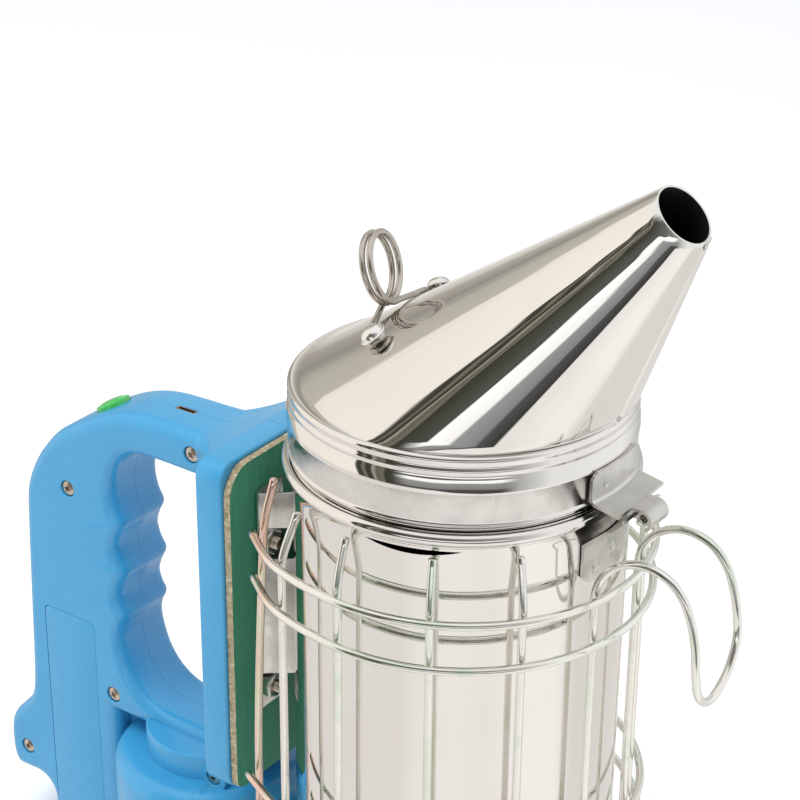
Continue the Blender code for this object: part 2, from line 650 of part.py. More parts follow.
def door_prism(grow, y0, y1):
    x0, x1, z0, z1 = DOOR
    x0, x1, z0, z1 = x0 - grow, x1 + grow, z0 - grow, z1 + grow
    c = 2.0
    outline = ((x0 + c, z0), (x1 - c, z0), (x1, z0 + c), (x1, z1 - c), (x1 - c, z1), (x0 + c, z1),
               (x0, z1 - c), (x0, z0 + c))
    return prism_xz(outline, y0, y1)


def build_housing():
    tools = housing_solids()
    for name, side in (("housing_right", -1), ("housing_left", 1)):
        shell = new_object(name, rounded_slab(OUTER, H_HALF, H_ROUND), "blue")
        boolean(shell, tools["opening"])
        for key in ("flange", "flare", "drum", "neck", "web", "boss", "nozzle"):
            boolean(shell, tools[key], "UNION")
        for key in ("cavity", "drum_room", "neck_room", "nozzle_bore", "button_hole", "usb_hole"):
            boolean(shell, tools[key])
        if side < 0:
            boolean(shell, tools["door_hole"])
        for k in range(4):
            boolean(shell, bpy.data.objects[f"cut_bolt_{k}"])
        for k, (x, z) in enumerate(SCREWS):
            y = screw_face(k)
            if side > 0:
                post = cylinder((x, 0.3, z), (x, y - 1.0, z), 3.2, 10)
                pilot = cylinder((x, -1, z), (x, y - 4.0, z), 1.3, 8)
                boolean(shell, new_object(f"add_post_{k}", post), "UNION")
                boolean(shell, new_object(f"cut_pilot_{k}", pilot))
            else:
                head = cylinder((x, -y - 6, z), (x, -y + 2.0, z), 2.9, 12)
                shank = cylinder((x, -y - 1, z), (x, 2, z), 1.3, 8)
                boolean(shell, new_object(f"cut_head_{k}", head))
                boolean(shell, new_object(f"cut_shank_{k}", shank))
        near, far = (-SPLIT, 60) if side < 0 else (-60, SPLIT)
        keep = new_object(f"cut_half_{name}", box(-220, -40, near, far, -10, 220))
        boolean(shell, keep)


def screw_face(k):
    """Distance of the side face from the seam where each case screw sits."""
    return (H_HALF, H_HALF, H_HALF, H_HALF, BOSS_Y)[k]


def build_screws():
    for k, (x, z) in enumerate(SCREWS):
        y = screw_face(k)
        shape = ((0, 0), (1.0, 0), (1.0, y + 1.3), (2.6, y + 1.4), (2.6, y + 2.2), (1.7, y + 2.9),
                 (0, y + 3.1))
        screw = turned(shape, (x, 3.0, z), (0, -1, 0), 12)
        new_object(f"case_screw_{k + 1}", screw, "zinc")


def build_door():
    y = -H_HALF
    door = new_object("battery_door", door_prism(-0.35, y, y + 1.8), "blue", (DOOR[0], y, DOOR[2]))
    return door


def build_battery():
    x = CELL_X
    shape = ((0, CELL_Z0), (CELL_R, CELL_Z0), (CELL_R, CELL_Z1 - 1.2), (3.0, CELL_Z1 - 1.2),
             (3.0, CELL_Z1), (0, CELL_Z1))
    new_object("battery_cell", revolve(shape, 20, (x, 0)), "white")
    new_object("battery_contact_top", box(x - 6, x + 6, -6, 6, CELL_Z1 + GAP, CELL_Z1 + 1.3), "zinc")
    coil = []
    for k in range(25):
        r, a = 5.6 - 2.6 * k / 24, math.pi * k / 4
        coil.append((x + r * math.cos(a), r * math.sin(a), 7.0 + 10.2 * k / 24))
    new_object("battery_contact_bottom", wire(coil, 0.6, 5), "zinc")


def build_electrics():
    x, z = USB
    shell = ((-3.75, -1.35), (3.75, -1.35), (3.75, 1.35), (-3.75, 1.35))
    socket = loft([[(x + a * s, b * s2, zz) for a, b in shell] for s, s2, zz in
                   ((1, 1, z - 6.0), (1, 1, z - 0.2), (0.88, 0.66, z - 0.2), (0.88, 0.66, z - 4.8))])
    new_object("usb_socket", socket, "zinc")
    new_object("circuit_board", box(x - 18, x + 7, -8.5, 8.5, z - 7.6, z - 6.3), "green_board")
    c, n = Vector((BUTTON[0], 0, BUTTON[1])), button_axis()
    base = c - n * 9.2
    body = turned(((0, -3.5), (4.4, -3.5), (4.4, 0), (1.7, 0), (1.7, 1.2), (0, 1.2)), base, n, 4)
    new_object("tact_switch", body, "black")
    shape = ((0, -6.2), (2.0, -6.2), (2.0, -4.0), (BUTTON_R, -4.0), (BUTTON_R, 0.9),
             (BUTTON_R - 1.2, 1.6), (0, 1.9))
    new_object("push_button", turned(shape, c, n, 20), "green_button", c)


def build_fan():
    x = DRUM_X
    motor = ((0, 38.0), (1.0, 38.0), (1.0, 50.9), (12.0, 50.9), (12.0, 62.6), (0, 62.6))
    new_object("fan_motor", revolve(motor, 20, (x, 0)), "dull_steel")
    hub = ((1.3, 24.0), (5.0, 24.0), (5.0, 46.0), (23.0, 48.0), (23.0, 49.6), (1.3, 49.6))
    rotor = new_object("fan_impeller", revolve(hub, 24, (x, 0)), "black", (x, 0, 24.0))
    blades = bmesh.new()
    for k in range(8):
        m = Matrix.Translation((x, 0, 0)) @ Matrix.Rotation(math.radians(45 * k), 4, "Z")
        bmesh.ops.create_cube(blades, size=1.0, matrix=m @ Matrix.Translation((17.0, 0, 37.0))
                              @ Matrix.Rotation(math.radians(18), 4, "Z")
                              @ Matrix.Diagonal((14.0, 1.2, 23.5, 1.0)))
    boolean(rotor, new_object("add_blades", blades), "UNION")
    r = DRUM_R - 2.4 - GAP
    cover = new_object("fan_cover", revolve(((0, 14.5), (r, 14.5), (r, 17.0), (0, 17.0)), 36, (x, 0)), "blue")
    slots = bmesh.new()
    for k in range(5):
        y = -16 + 8 * k
        half = math.sqrt(24 ** 2 - y * y)
        bmesh.ops.create_cube(slots, size=1.0, matrix=Matrix.Translation((x, y, 15.7))
                              @ Matrix.Diagonal((2 * half, 4.0, 6.0, 1.0)))
    boolean(cover, new_object("cut_cover_slots", slots))


def main():
    clear_scene()
    lid = bpy.data.objects.new("lid_axis", None)
    lid.location = Vector(PIN_ORIGIN) * MM
    bpy.context.scene.collection.objects.link(lid)
    build_pot()
    build_guard()
    build_band(lid)
    build_cone(lid)
    build_rivets(lid)
    build_coil(lid)
    build_upper_leaf(lid)
    build_lower_leaf()
    build_bracket()
    build_bolts()
    build_board()
    build_housing()
    build_screws()
    build_door()
    build_battery()
    build_electrics()
    build_fan()


main()
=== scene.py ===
"""Looks of the electric bee smoker: polished steel lid and pot, plated wire guard, blue blower handle."""

import math

import bmesh
import bpy
from mathutils import Matrix, Vector, noise


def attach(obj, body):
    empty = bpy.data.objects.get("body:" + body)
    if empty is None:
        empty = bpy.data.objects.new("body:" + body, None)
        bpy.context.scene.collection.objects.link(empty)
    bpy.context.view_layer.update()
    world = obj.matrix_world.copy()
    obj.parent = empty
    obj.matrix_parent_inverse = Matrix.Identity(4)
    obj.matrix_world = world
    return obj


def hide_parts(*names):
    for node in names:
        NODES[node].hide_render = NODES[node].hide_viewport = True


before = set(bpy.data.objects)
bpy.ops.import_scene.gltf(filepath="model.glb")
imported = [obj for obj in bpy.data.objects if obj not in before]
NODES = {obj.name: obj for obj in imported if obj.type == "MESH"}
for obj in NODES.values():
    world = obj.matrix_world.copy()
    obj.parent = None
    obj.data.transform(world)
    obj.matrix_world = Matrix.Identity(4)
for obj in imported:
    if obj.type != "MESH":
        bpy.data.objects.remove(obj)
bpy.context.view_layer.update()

# All sizes below are millimetres, from the origin under the pot axis; meshes are scaled to metres.
MM = 0.001
GAP = 0.3
ROUND = 192                      # facets round the pot and lid

POT_R, POT_WALL, POT_BOTTOM, POT_TOP = 49.5, 0.9, 1.2, 208.0
CUP_R, CUP_TOP = 50.7, 12.0
INLET_Z, INLET_R = 36.0, 8.2
SLIT_AZ = -72.5                  # dark slot under the rim of the pot, degrees
WIRE_R, RING_R, UPRIGHT_R = 1.25, 57.5, 54.7
RING_Z = (174.2, 159.6, 89.0, 74.4)
RING_END_AZ, RING_REACH = 138.5, (61.6, 61.6, 64.6, 64.6)
UPRIGHT_AZ = (38.0, 65.0, 95.0, 120.0, 140.0)
HOOK_Y = 12.2
SKIRT_R, SKIRT_LOW, SKIRT_TOP, BAND_TOP = 51.0, 202.6, 212.0, 219.2
BEAD_VALLEY = 50.2
CONE_LOW_R, CONE_LOW_Z = 49.74, 220.9
MOUTH, MOUTH_R, MOUTH_TILT = (66.6, 287.2), 9.17, 46.5
CONE_WALL = 0.8
SEAM_AZ, SEAM_HALF = 12.0, 12.0   # folded seam down the side of the cone, degrees
COIL_C = (-26.2, -3.9, 250.8)
COIL_R, COIL_WIRE_R, COIL_TURNS, COIL_PITCH, COIL_LEAN, COIL_TURN = 10.2, 0.95, 2.0, 2.5, 18.0, 13.0
RIVETS = (("lid_rivet_right", -140.0, 0.26), ("lid_rivet_left", 149.0, 0.19))
PIN = (62.3, 197.6)
PIN_R, ROLL_R, ROLL_BORE, ROLL_Y0, ROLL_Y1 = 1.0, 3.4, 2.5, -5.0, 4.8
LEAF_Y0, LEAF_Y1, LEAF_T = -12.2, 12.8, 0.9
BOARD_X0, BOARD_X1, BOARD_Y, BOARD_Z0, BOARD_Z1 = -63.2, -60.8, 33.0, 71.0, 186.0
BRACKET_Z0, BRACKET_Z1 = 97.0, 175.0
BOLT_Y, BOLT_Z = 18.5, (105.5, 157.5)
H_HALF, H_ROUND, H_WALL, SPLIT = 13.0, 4.5, 2.3, 0.05
FLANGE_X0, FLANGE_X1, FLANGE_Y, FLANGE_Z0, FLANGE_Z1 = -73.5, -63.5, 34.0, 70.0, 187.0
DRUM_X, DRUM_R, DRUM_Z0, DRUM_Z1 = -98.0, 34.0, 14.0, 57.0
NECK_R, NECK_Z1 = 23.0, 66.0
OUTER = ((-70, 182.6), (-85, 181.6), (-97, 181.0), (-106, 180.8), (-115, 180.3), (-123, 178.8),
         (-130, 176.3), (-136, 173.4), (-143, 169.3), (-151.7, 163.6), (-159, 155.6), (-163.9, 148),
         (-166.9, 140.6), (-168.1, 134.0), (-170.0, 92.7), (-171.0, 67.5), (-171.9, 57.0),
         (-173.5, 52.0), (-177.3, 47.4), (-181.8, 42.3), (-183.8, 38.0), (-184.4, 30.5),
         (-183.6, 23.5), (-181.0, 19.9), (-170.5, 19.6), (-167.2, 18.0), (-164.8, 14.0),
         (-164.8, 6.5), (-163.2, 2.0), (-158.8, 0.0))
OUTER_CORNERS = ((-131.5, 0.0), (-131.5, 62.0), (-70, 62.0))
OPENING = ((-90, 165.7), (-108, 165.9), (-117, 165.4), (-122, 163.4), (-125.8, 159.3),
           (-128.0, 153.5), (-128.8, 147.0), (-127.6, 141.0), (-125.4, 136.4), (-127.4, 131.8),
           (-128.7, 127.3), (-127.6, 122.6), (-125.3, 118.2), (-127.4, 113.2), (-128.8, 108.4),
           (-127.8, 104.6), (-126.0, 101.2), (-127.8, 97.0), (-128.6, 92.5), (-127.6, 86.5),
           (-125.0, 79.6), (-120.4, 73.8), (-114.0, 70.3), (-106, 69.0), (-90, 69.0))
BUTTON, BUTTON_TILT, BUTTON_R = (-136.4, 173.6), 29.5, 5.8
USB = (-104.9, 180.9)
SCREWS = ((-147.2, 144.3), (-131.6, 69.2), (-175.0, 30.3), (-92.9, 173.6), (-82.3, 59.6))
BOSS_Y = 20.0
DOOR = (-161.5, -138.7, 6.0, 95.0)

CAMERA_AT = (315.6, -483.0, 498.3)
CAMERA_AZ, CAMERA_EL, CAMERA_ROLL, CAMERA_LENS = 55.03, 26.20, 0.546, 100.64


# ---- shader nodes

class Net:
    """Short names for making and linking nodes in one tree."""

    def __init__(self, tree):
        self.tree = tree

    def add(self, kind, **settings):
        node = self.tree.nodes.new(kind)
        for key, value in settings.items():
            setattr(node, key, value)
        return node

    def put(self, socket, value):
        if isinstance(value, bpy.types.NodeSocket):
            self.tree.links.new(value, socket)
        elif value is not None:
            socket.default_value = value

    def math(self, operation, a, b=None, clamp=False):
        node = self.add("ShaderNodeMath", operation=operation, use_clamp=clamp)
        self.put(node.inputs[0], a)
        self.put(node.inputs[1], b)
        return node.outputs[0]

    def map(self, value, low, high, to_low=0.0, to_high=1.0, smooth=False):
        node = self.add("ShaderNodeMapRange", interpolation_type="SMOOTHSTEP" if smooth else "LINEAR")
        for socket, v in zip(node.inputs, (value, low, high, to_low, to_high)):
            self.put(socket, v)
        return node.outputs[0]

    def mix(self, factor, a, b, blend="MIX"):
        node = self.add("ShaderNodeMix", data_type="RGBA", blend_type=blend)
        self.put(node.inputs[0], factor)
        for socket, v in ((node.inputs[6], a), (node.inputs[7], b)):
            self.put(socket, (*v, 1.0) if isinstance(v, tuple) and len(v) == 3 else v)
        return node.outputs[2]

    def ramp(self, value, stops, interpolation="LINEAR"):
        node = self.add("ShaderNodeValToRGB")
        node.color_ramp.interpolation = interpolation
        elements = node.color_ramp.elements
        while len(elements) < len(stops):
            elements.new(0.5)
        for element, (place, colour) in zip(elements, stops):
            element.position = place
            element.color = (*colour, 1.0) if len(colour) == 3 else colour
        self.put(node.inputs[0], value)
        return node.outputs[0]

    def coords(self, stretch=(1, 1, 1), turn=(0, 0, 0)):
        texture = self.add("ShaderNodeTexCoord")
        mapping = self.add("ShaderNodeMapping")
        self.put(mapping.inputs["Vector"], texture.outputs["Object"])
        mapping.inputs["Scale"].default_value = stretch
        mapping.inputs["Rotation"].default_value = turn
        return mapping.outputs[0]

    def noise(self, vector, scale, detail=3.0, rough=0.55, distortion=0.0):
        node = self.add("ShaderNodeTexNoise")
        self.put(node.inputs["Vector"], vector)
        for key, v in (("Scale", scale), ("Detail", detail), ("Roughness", rough),
                       ("Distortion", distortion)):
            node.inputs[key].default_value = v
        return node.outputs["Fac"]


def new_material(name):
    """A material with a Principled shader; returns (material, net, shader)."""
    mat = bpy.data.materials.new(name)
    mat.use_nodes = True
    net = Net(mat.node_tree)
    return mat, net, mat.node_tree.nodes["Principled BSDF"]


def bumped(net, shader, height, distance, strength=1.0, normal=None):
    bump = net.add("ShaderNodeBump")
    bump.inputs["Strength"].default_value = strength
    bump.inputs["Distance"].default_value = distance
    net.put(bump.inputs["Height"], height)
    net.put(bump.inputs["Normal"], normal)
    net.put(shader.inputs["Normal"], bump.outputs[0])
    return bump.outputs[0]


def metal(name, colour, second, roughness, spread, tint_scale=30.0, grain_scale=260.0, grain=0.0,
          stretch=(1, 1, 1), specks=0.0, scratch=0.0):
    """Metal with drifting tint, uneven polish, fine grain and optional dark specks or hairline scratches."""
    mat, net, shader = new_material(name)
    where = net.coords()
    drift = net.map(net.noise(where, tint_scale, 4.0, 0.6, 0.4), 0.36, 0.64)
    tone = net.mix(drift, colour, second)
    if specks:
        spots = net.map(net.noise(where, 900.0, 6.0, 0.75), 0.60, 0.74)
        patch = net.map(net.noise(where, 70.0, 3.0), 0.42, 0.62)
        tone = net.mix(net.math("MULTIPLY", net.math("MULTIPLY", spots, patch), specks), tone,
                       tuple(0.35 * c for c in colour))
    net.put(shader.inputs["Base Color"], tone)
    shader.inputs["Metallic"].default_value = 1.0
    smudge = net.map(net.noise(where, 45.0, 5.0, 0.7, 1.2), 0.42, 0.72)
    fine = net.noise(net.coords(stretch), grain_scale, 3.0, 0.6)
    rough = net.math("ADD", net.math("MULTIPLY", smudge, spread), net.math("MULTIPLY", fine, 0.35 * spread))
    if scratch:
        lines = net.math("ADD", net.map(net.noise(net.coords((60, 60, 3), (0.3, 0.5, 0.2)), 14.0, 2.0),
                                        0.66, 0.70),
                         net.map(net.noise(net.coords((3, 70, 60), (0.1, -0.6, 0.9)), 12.0, 2.0), 0.67, 0.71))
        rough = net.math("ADD", rough, net.math("MULTIPLY", lines, scratch))
    net.put(shader.inputs["Roughness"], net.math("ADD", rough, roughness, clamp=True))
    if grain:
        bumped(net, shader, fine, grain * MM)
    return mat


def plastic(name, colour, second, roughness=0.34, grain=0.012, grain_scale=1500.0, drift_scale=18.0):
    """Moulded plastic with slight tone drift, soft flow marks, fine grain and uneven gloss."""
    mat, net, shader = new_material(name)
    where = net.coords()
    drift = net.map(net.noise(where, drift_scale, 3.0, 0.5, 0.6), 0.35, 0.65)
    net.put(shader.inputs["Base Color"], net.mix(drift, colour, second))
    gloss = net.noise(where, 60.0, 4.0, 0.6)
    net.put(shader.inputs["Roughness"], net.map(gloss, 0.3, 0.7, roughness - 0.05, roughness + 0.07))
    bumped(net, shader, net.noise(where, grain_scale, 2.0, 0.5), grain * MM)
    shader.inputs["Specular IOR Level"].default_value = 0.7
    return mat


def chrome_material():
    return metal("polished_steel", (0.83, 0.815, 0.795), (0.80, 0.78, 0.755), 0.018, 0.05, tint_scale=16.0)


def skirt_material():
    return metal("worn_skirt_steel", (0.80, 0.785, 0.765), (0.70, 0.68, 0.66), 0.12, 0.22, tint_scale=60.0,
                 specks=0.7)


def satin_material():
    return metal("galvanised_plate", (0.62, 0.61, 0.585), (0.74, 0.73, 0.70), 0.20, 0.22, tint_scale=55.0,
                 grain=0.02, grain_scale=500.0, specks=0.5)


def zinc_material():
    """Plated wire with pink, green and straw iridescence."""
    mat, net, shader = new_material("iridescent_zinc")
    where = net.coords()
    hue = net.noise(where, 26.0, 2.0, 0.5, 0.8)
    pale = net.ramp(hue, ((0.30, (0.86, 0.86, 0.80)), (0.42, (0.87, 0.85, 0.81)), (0.50, (0.86, 0.88, 0.83)),
                          (0.58, (0.76, 0.82, 0.72)), (0.70, (0.90, 0.90, 0.87))))
    warm = net.ramp(hue, ((0.32, (0.80, 0.62, 0.46)), (0.45, (0.84, 0.60, 0.52)), (0.55, (0.74, 0.72, 0.56)),
                          (0.68, (0.84, 0.70, 0.62))))
    split = net.add("ShaderNodeSeparateXYZ")
    net.put(split.inputs[0], where)
    rear = net.map(split.outputs[0], -0.026, -0.040, smooth=True)
    net.put(shader.inputs["Base Color"], net.mix(rear, pale, warm))
    shader.inputs["Metallic"].default_value = 1.0
    fine = net.noise(where, 420.0, 4.0, 0.65)
    net.put(shader.inputs["Roughness"], net.map(fine, 0.3, 0.75, 0.10, 0.26))
    bumped(net, shader, fine, 0.008 * MM)
    return mat


def board_material():
    """Green coated face, brushed lengthwise."""
    mat, net, shader = new_material("green_coated_board")
    brushed = net.noise(net.coords((1, 60, 2.5)), 30.0, 4.0, 0.6, 0.2)
    net.put(shader.inputs["Base Color"], net.mix(net.map(brushed, 0.3, 0.7), (0.050, 0.290, 0.165),
                                                 (0.080, 0.370, 0.225)))
    net.put(shader.inputs["Roughness"], net.map(brushed, 0.3, 0.7, 0.42, 0.60))
    bumped(net, shader, brushed, 0.04 * MM)
    return mat


def board_edge_material():
    """Sawn fibre edge: tan with pale tufts and dark pits."""
    mat, net, shader = new_material("sawn_fibre_edge")
    where = net.coords()
    fibre = net.noise(where, 520.0, 5.0, 0.7, 0.6)
    tone = net.ramp(fibre, ((0.30, (0.13, 0.105, 0.06)), (0.44, (0.34, 0.28, 0.17)),
                            (0.58, (0.47, 0.40, 0.26)),
                            (0.74, (0.78, 0.74, 0.62))))
    net.put(shader.inputs["Base Color"], tone)
    net.put(shader.inputs["Roughness"], net.map(fibre, 0.2, 0.8, 0.75, 0.95))
    bumped(net, shader, fibre, 0.35 * MM)
    return mat


def button_material():
    mat, net, shader = new_material("clear_green_button")
    where = net.coords()
    cloud = net.noise(where, 130.0, 3.0)
    net.put(shader.inputs["Base Color"], net.mix(cloud, (0.02, 0.42, 0.06), (0.10, 0.62, 0.16)))
    net.put(shader.inputs["Roughness"], net.map(net.noise(where, 300.0), 0.3, 0.7, 0.16, 0.28))
    shader.inputs["Subsurface Weight"].default_value = 0.35
    shader.inputs["Subsurface Radius"].default_value = (0.0008, 0.003, 0.001)
    shader.inputs["Coat Weight"].default_value = 0.4
    return mat


def make_materials():
    return {
        "chrome": chrome_material(),
        "skirt": skirt_material(),
        "satin": satin_material(),
        "zinc": zinc_material(),
        "nickel": metal("warm_nickel", (0.66, 0.58, 0.48), (0.52, 0.47, 0.40), 0.22, 0.16, 140.0, grain=0.02),
        "blue": plastic("blue_shell_plastic", (0.044, 0.322, 0.585), (0.052, 0.344, 0.612), 0.27),
        "board": board_material(),
        "board_edge": board_edge_material(),
        "button": button_material(),
        "black": plastic("black_plastic", (0.012, 0.012, 0.013), (0.024, 0.024, 0.024), 0.45, 0.02),
        "pcb": plastic("green_circuit_board", (0.012, 0.10, 0.045), (0.02, 0.14, 0.06), 0.4, 0.03, 700.0,
                       260.0),
        "wrap": plastic("cell_wrap", (0.60, 0.59, 0.54), (0.68, 0.67, 0.62), 0.38, 0.01),
        "copper": metal("contact_copper", (0.72, 0.42, 0.24), (0.60, 0.36, 0.20), 0.25, 0.2, 200.0),
        # near-black painted shade for the hollow insides of the pot, lid band and cone
        "inside_shade": plastic("painted_shade_inside", (0.006, 0.006, 0.006), (0.013, 0.012, 0.011), 0.75, 0.05, 900.0),
        "bright": metal("bright_rivet_steel", (0.88, 0.87, 0.85), (0.80, 0.79, 0.77), 0.16, 0.10, 60.0),
        "satin_wire": metal("coil_wire_steel", (0.62, 0.58, 0.53), (0.54, 0.50, 0.45), 0.16, 0.12, 60.0),
    }


# ---- meshes; every maker returns a closed bmesh in millimetres

def loft(loops, closed=False):
    """Quads between successive loops of equal count, with flat caps unless joined end to end."""
    bm = bmesh.new()
    rows = [[bm.verts.new(p) for p in loop] for loop in loops]
    n = len(rows[0])
    pairs = list(zip(rows, rows[1:])) + ([(rows[-1], rows[0])] if closed else [])
    for a, b in pairs:
        for i in range(n):
            j = (i + 1) % n
            bm.faces.new((a[i], a[j], b[j], b[i]))
    if not closed:
        caps = [bm.faces.new(rows[0]), bm.faces.new(rows[-1])]
        for face in caps:
            face.normal_update()
        bmesh.ops.triangulate(bm, faces=caps)
    return bm


def revolve(profile, seg=64, centre=(0.0, 0.0), ripple=None):
    """Closed (radius, z) profile turned about a vertical axis; ripple(azimuth, radius, z) is added to r."""
    bm = bmesh.new()
    rows = []
    for r, z in profile:
        if r < 1e-6:
            rows.append([bm.verts.new((centre[0], centre[1], z))])
            continue
        row = []
        for k in range(seg):
            a = 2 * math.pi * k / seg
            q = r + (ripple(a, r, z) if ripple else 0.0)
            row.append(bm.verts.new((centre[0] + q * math.cos(a), centre[1] + q * math.sin(a), z)))
        rows.append(row)
    for a, b in zip(rows, rows[1:] + rows[:1]):
        if len(a) == 1 and len(b) == 1:
            continue
        for k in range(seg):
            m = (k + 1) % seg
            if len(a) == 1:
                bm.faces.new((a[0], b[k], b[m]))
            elif len(b) == 1:
                bm.faces.new((a[k], a[m], b[0]))
            else:
                bm.faces.new((a[k], a[m], b[m], b[k]))
    return bm


def turned(profile, at, direction, seg=48):
    bm = revolve(profile, seg)
    turn = Vector((0, 0, 1)).rotation_difference(Vector(direction).normalized())
    bmesh.ops.transform(bm, matrix=Matrix.Translation(at) @ turn.to_matrix().to_4x4(), verts=bm.verts)
    return bm


def cylinder(p0, p1, r, seg=32):
    p0, p1 = Vector(p0), Vector(p1)
    h = (p1 - p0).length
    return turned(((0, 0), (r, 0), (r, h), (0, h)), p0, p1 - p0, seg)


def box(x0, x1, y0, y1, z0, z1):
    bm = bmesh.new()
    bmesh.ops.create_cube(bm, size=1.0)
    for v in bm.verts:
        v.co = Vector(((x0 + x1) / 2 + v.co.x * (x1 - x0), (y0 + y1) / 2 + v.co.y * (y1 - y0),
                       (z0 + z1) / 2 + v.co.z * (z1 - z0)))
    return bm


def arc(cx, cz, r, start, end, steps):
    """Points of a round stretch, by angles in degrees."""
    return [(cx + r * math.cos(a), cz + r * math.sin(a))
            for a in (math.radians(start + (end - start) * k / steps) for k in range(steps + 1))]


def smooth_path(points, step, closed=False):
    """Centripetal-like spline through the points, resampled about every step millimetres."""
    pts = [Vector(p) for p in points]
    n = len(pts)
    out = []
    for i in range(n if closed else n - 1):
        p0 = pts[i - 1] if (i or closed) else 2 * pts[0] - pts[1]
        p1, p2 = pts[i], pts[(i + 1) % n]
        p3 = pts[(i + 2) % n] if (i < n - 2 or closed) else 2 * pts[-1] - pts[-2]
        chord = (p2 - p1).length
        m1 = (p2 - p0) * chord / max(1e-6, (p1 - p0).length + chord)
        m2 = (p3 - p1) * chord / max(1e-6, (p3 - p2).length + chord)
        count = max(1, round(chord / step))
        for k in range(count):
            t = k / count
            h1, h2 = 2 * t ** 3 - 3 * t ** 2 + 1, t ** 3 - 2 * t ** 2 + t
            out.append(p1 * h1 + m1 * h2 + p2 * (1 - h1) + m2 * (t ** 3 - t ** 2))
    return out if closed else out + [pts[-1]]


def wire(points, r, step=2.0, sides=16, end_round=0.28):
    """Round wire along a smooth path, with its cut ends slightly rounded."""
    pts = smooth_path(points, step)
    first, last = (pts[1] - pts[0]).normalized(), (pts[-1] - pts[-2]).normalized()
    radii = [r] * len(pts)
    pts = [pts[0], pts[0] + first * end_round] + pts[1:-1] + [pts[-1] - last * end_round, pts[-1]]
    radii = [r - end_round] + [r] * len(radii) + [r - end_round]
    side = (pts[1] - pts[0]).orthogonal().normalized()
    loops = []
    for i, (p, radius) in enumerate(zip(pts, radii)):
        t = (pts[min(i + 1, len(pts) - 1)] - pts[max(i - 1, 0)]).normalized()
        side = (side - t * side.dot(t)).normalized()
        up = t.cross(side)
        loops.append([p + radius * (math.cos(2 * math.pi * k / sides) * side
                                    + math.sin(2 * math.pi * k / sides) * up) for k in range(sides)])
    return loft(loops)


def prism_xz(outline, y0, y1):
    return loft([[(x, y, z) for x, z in outline] for y in (y0, y1)])


def prism_yz(outline, x0, x1):
    return loft([[(x, y, z) for y, z in outline] for x in (x0, x1)])


def offset(outline, d):
    """Moves a closed outline inward by d, or outward when negative, and less where its bend is too tight."""
    n = len(outline)
    area = sum(outline[i][0] * outline[(i + 1) % n][1] - outline[(i + 1) % n][0] * outline[i][1]
               for i in range(n))
    sign = 1.0 if area > 0 else -1.0
    pts = [Vector(p) for p in outline]
    moves, limits = [], []
    for i in range(n):
        p, a, b = pts[i], pts[i - 1], pts[(i + 1) % n]
        e0, e1 = (p - a).normalized(), (b - p).normalized()
        n0, n1 = Vector((-e0.y, e0.x)) * sign, Vector((-e1.y, e1.x)) * sign
        mid = (n0 + n1).normalized()
        moves.append(mid / max(0.5, mid.dot(n0)))
        reach = min((p - a).length, (b - p).length)
        lo, hi = pts[i - 2], pts[(i + 2) % n]
        bend = (lo - p).angle(p - hi, 0.0) * (1 if (p - lo).x * (hi - p).y > (p - lo).y * (hi - p).x else -1)
        tight = bend * sign * (1 if d > 0 else -1) > 0.02 and reach < 3.0
        limits.append(0.8 * 0.5 * ((p - lo).length + (hi - p).length) / abs(bend) if tight else 1e9)
    near = [min(limits[(i + k) % n] for k in (-2, -1, 0, 1, 2)) for i in range(n)]
    amount = [min(abs(d), x) for x in near]
    amount = [sum(amount[(i + k) % n] for k in (-2, -1, 0, 1, 2)) / 5 if near[i] < 1e8 or near[i - 3] < 1e8
              or near[(i + 3) % n] < 1e8 else amount[i] for i in range(n)]
    side = 1 if d > 0 else -1
    return [tuple(p + m * side * q) for p, m, q in zip(pts, moves, amount)]


def rounded_prism(outline, centre, half, radius, axis="y", steps=7):
    """Outline drawn out along Y or X with its side edges rounded."""
    stations = []
    for k in range(steps + 1):
        a = math.pi / 2 * k / steps
        stations.append((half - radius * (1 - math.sin(a)), radius * (1 - math.cos(a))))
    both = [(-s, d) for s, d in reversed(stations)] + stations
    if axis == "y":
        return loft([[(u, centre + s, v) for u, v in offset(outline, d)] for s, d in both])
    return loft([[(centre + s, u, v) for u, v in offset(outline, d)] for s, d in both])


def rounded_corners(points, radius, steps=6):
    """Closed polygon with each corner turned into an arc; radius may be one value or one per corner."""
    out = []
    n = len(points)
    for i in range(n):
        r = radius[i] if isinstance(radius, (list, tuple)) else radius
        p, a, b = Vector(points[i]), Vector(points[i - 1]), Vector(points[(i + 1) % n])
        ea, eb = (a - p).normalized(), (b - p).normalized()
        half = ea.angle(eb) / 2
        cut = r / math.tan(half)
        centre = p + (ea + eb).normalized() * (r / math.sin(half))
        start, end = p + ea * cut - centre, p + eb * cut - centre
        for k in range(steps + 1):
            q = centre + start.lerp(end, k / steps).normalized() * r
            out.append((q.x, q.y))
    return out


# ---- objects

def raw_object(name, bm):
    bmesh.ops.recalc_face_normals(bm, faces=bm.faces)
    if bm.calc_volume(signed=True) < 0:
        bmesh.ops.reverse_faces(bm, faces=bm.faces)
    bmesh.ops.scale(bm, vec=(MM, MM, MM), verts=bm.verts)
    mesh = bpy.data.meshes.new(name)
    bm.to_mesh(mesh)
    bm.free()
    obj = bpy.data.objects.new(name, mesh)
    bpy.context.scene.collection.objects.link(obj)
    return obj


def settle(obj):
    """Replaces the mesh by what its modifiers make of it."""
    bpy.context.view_layer.update()
    made = bpy.data.meshes.new_from_object(obj.evaluated_get(bpy.context.evaluated_depsgraph_get()))
    obj.modifiers.clear()
    old, obj.data = obj.data, made
    bpy.data.meshes.remove(old)


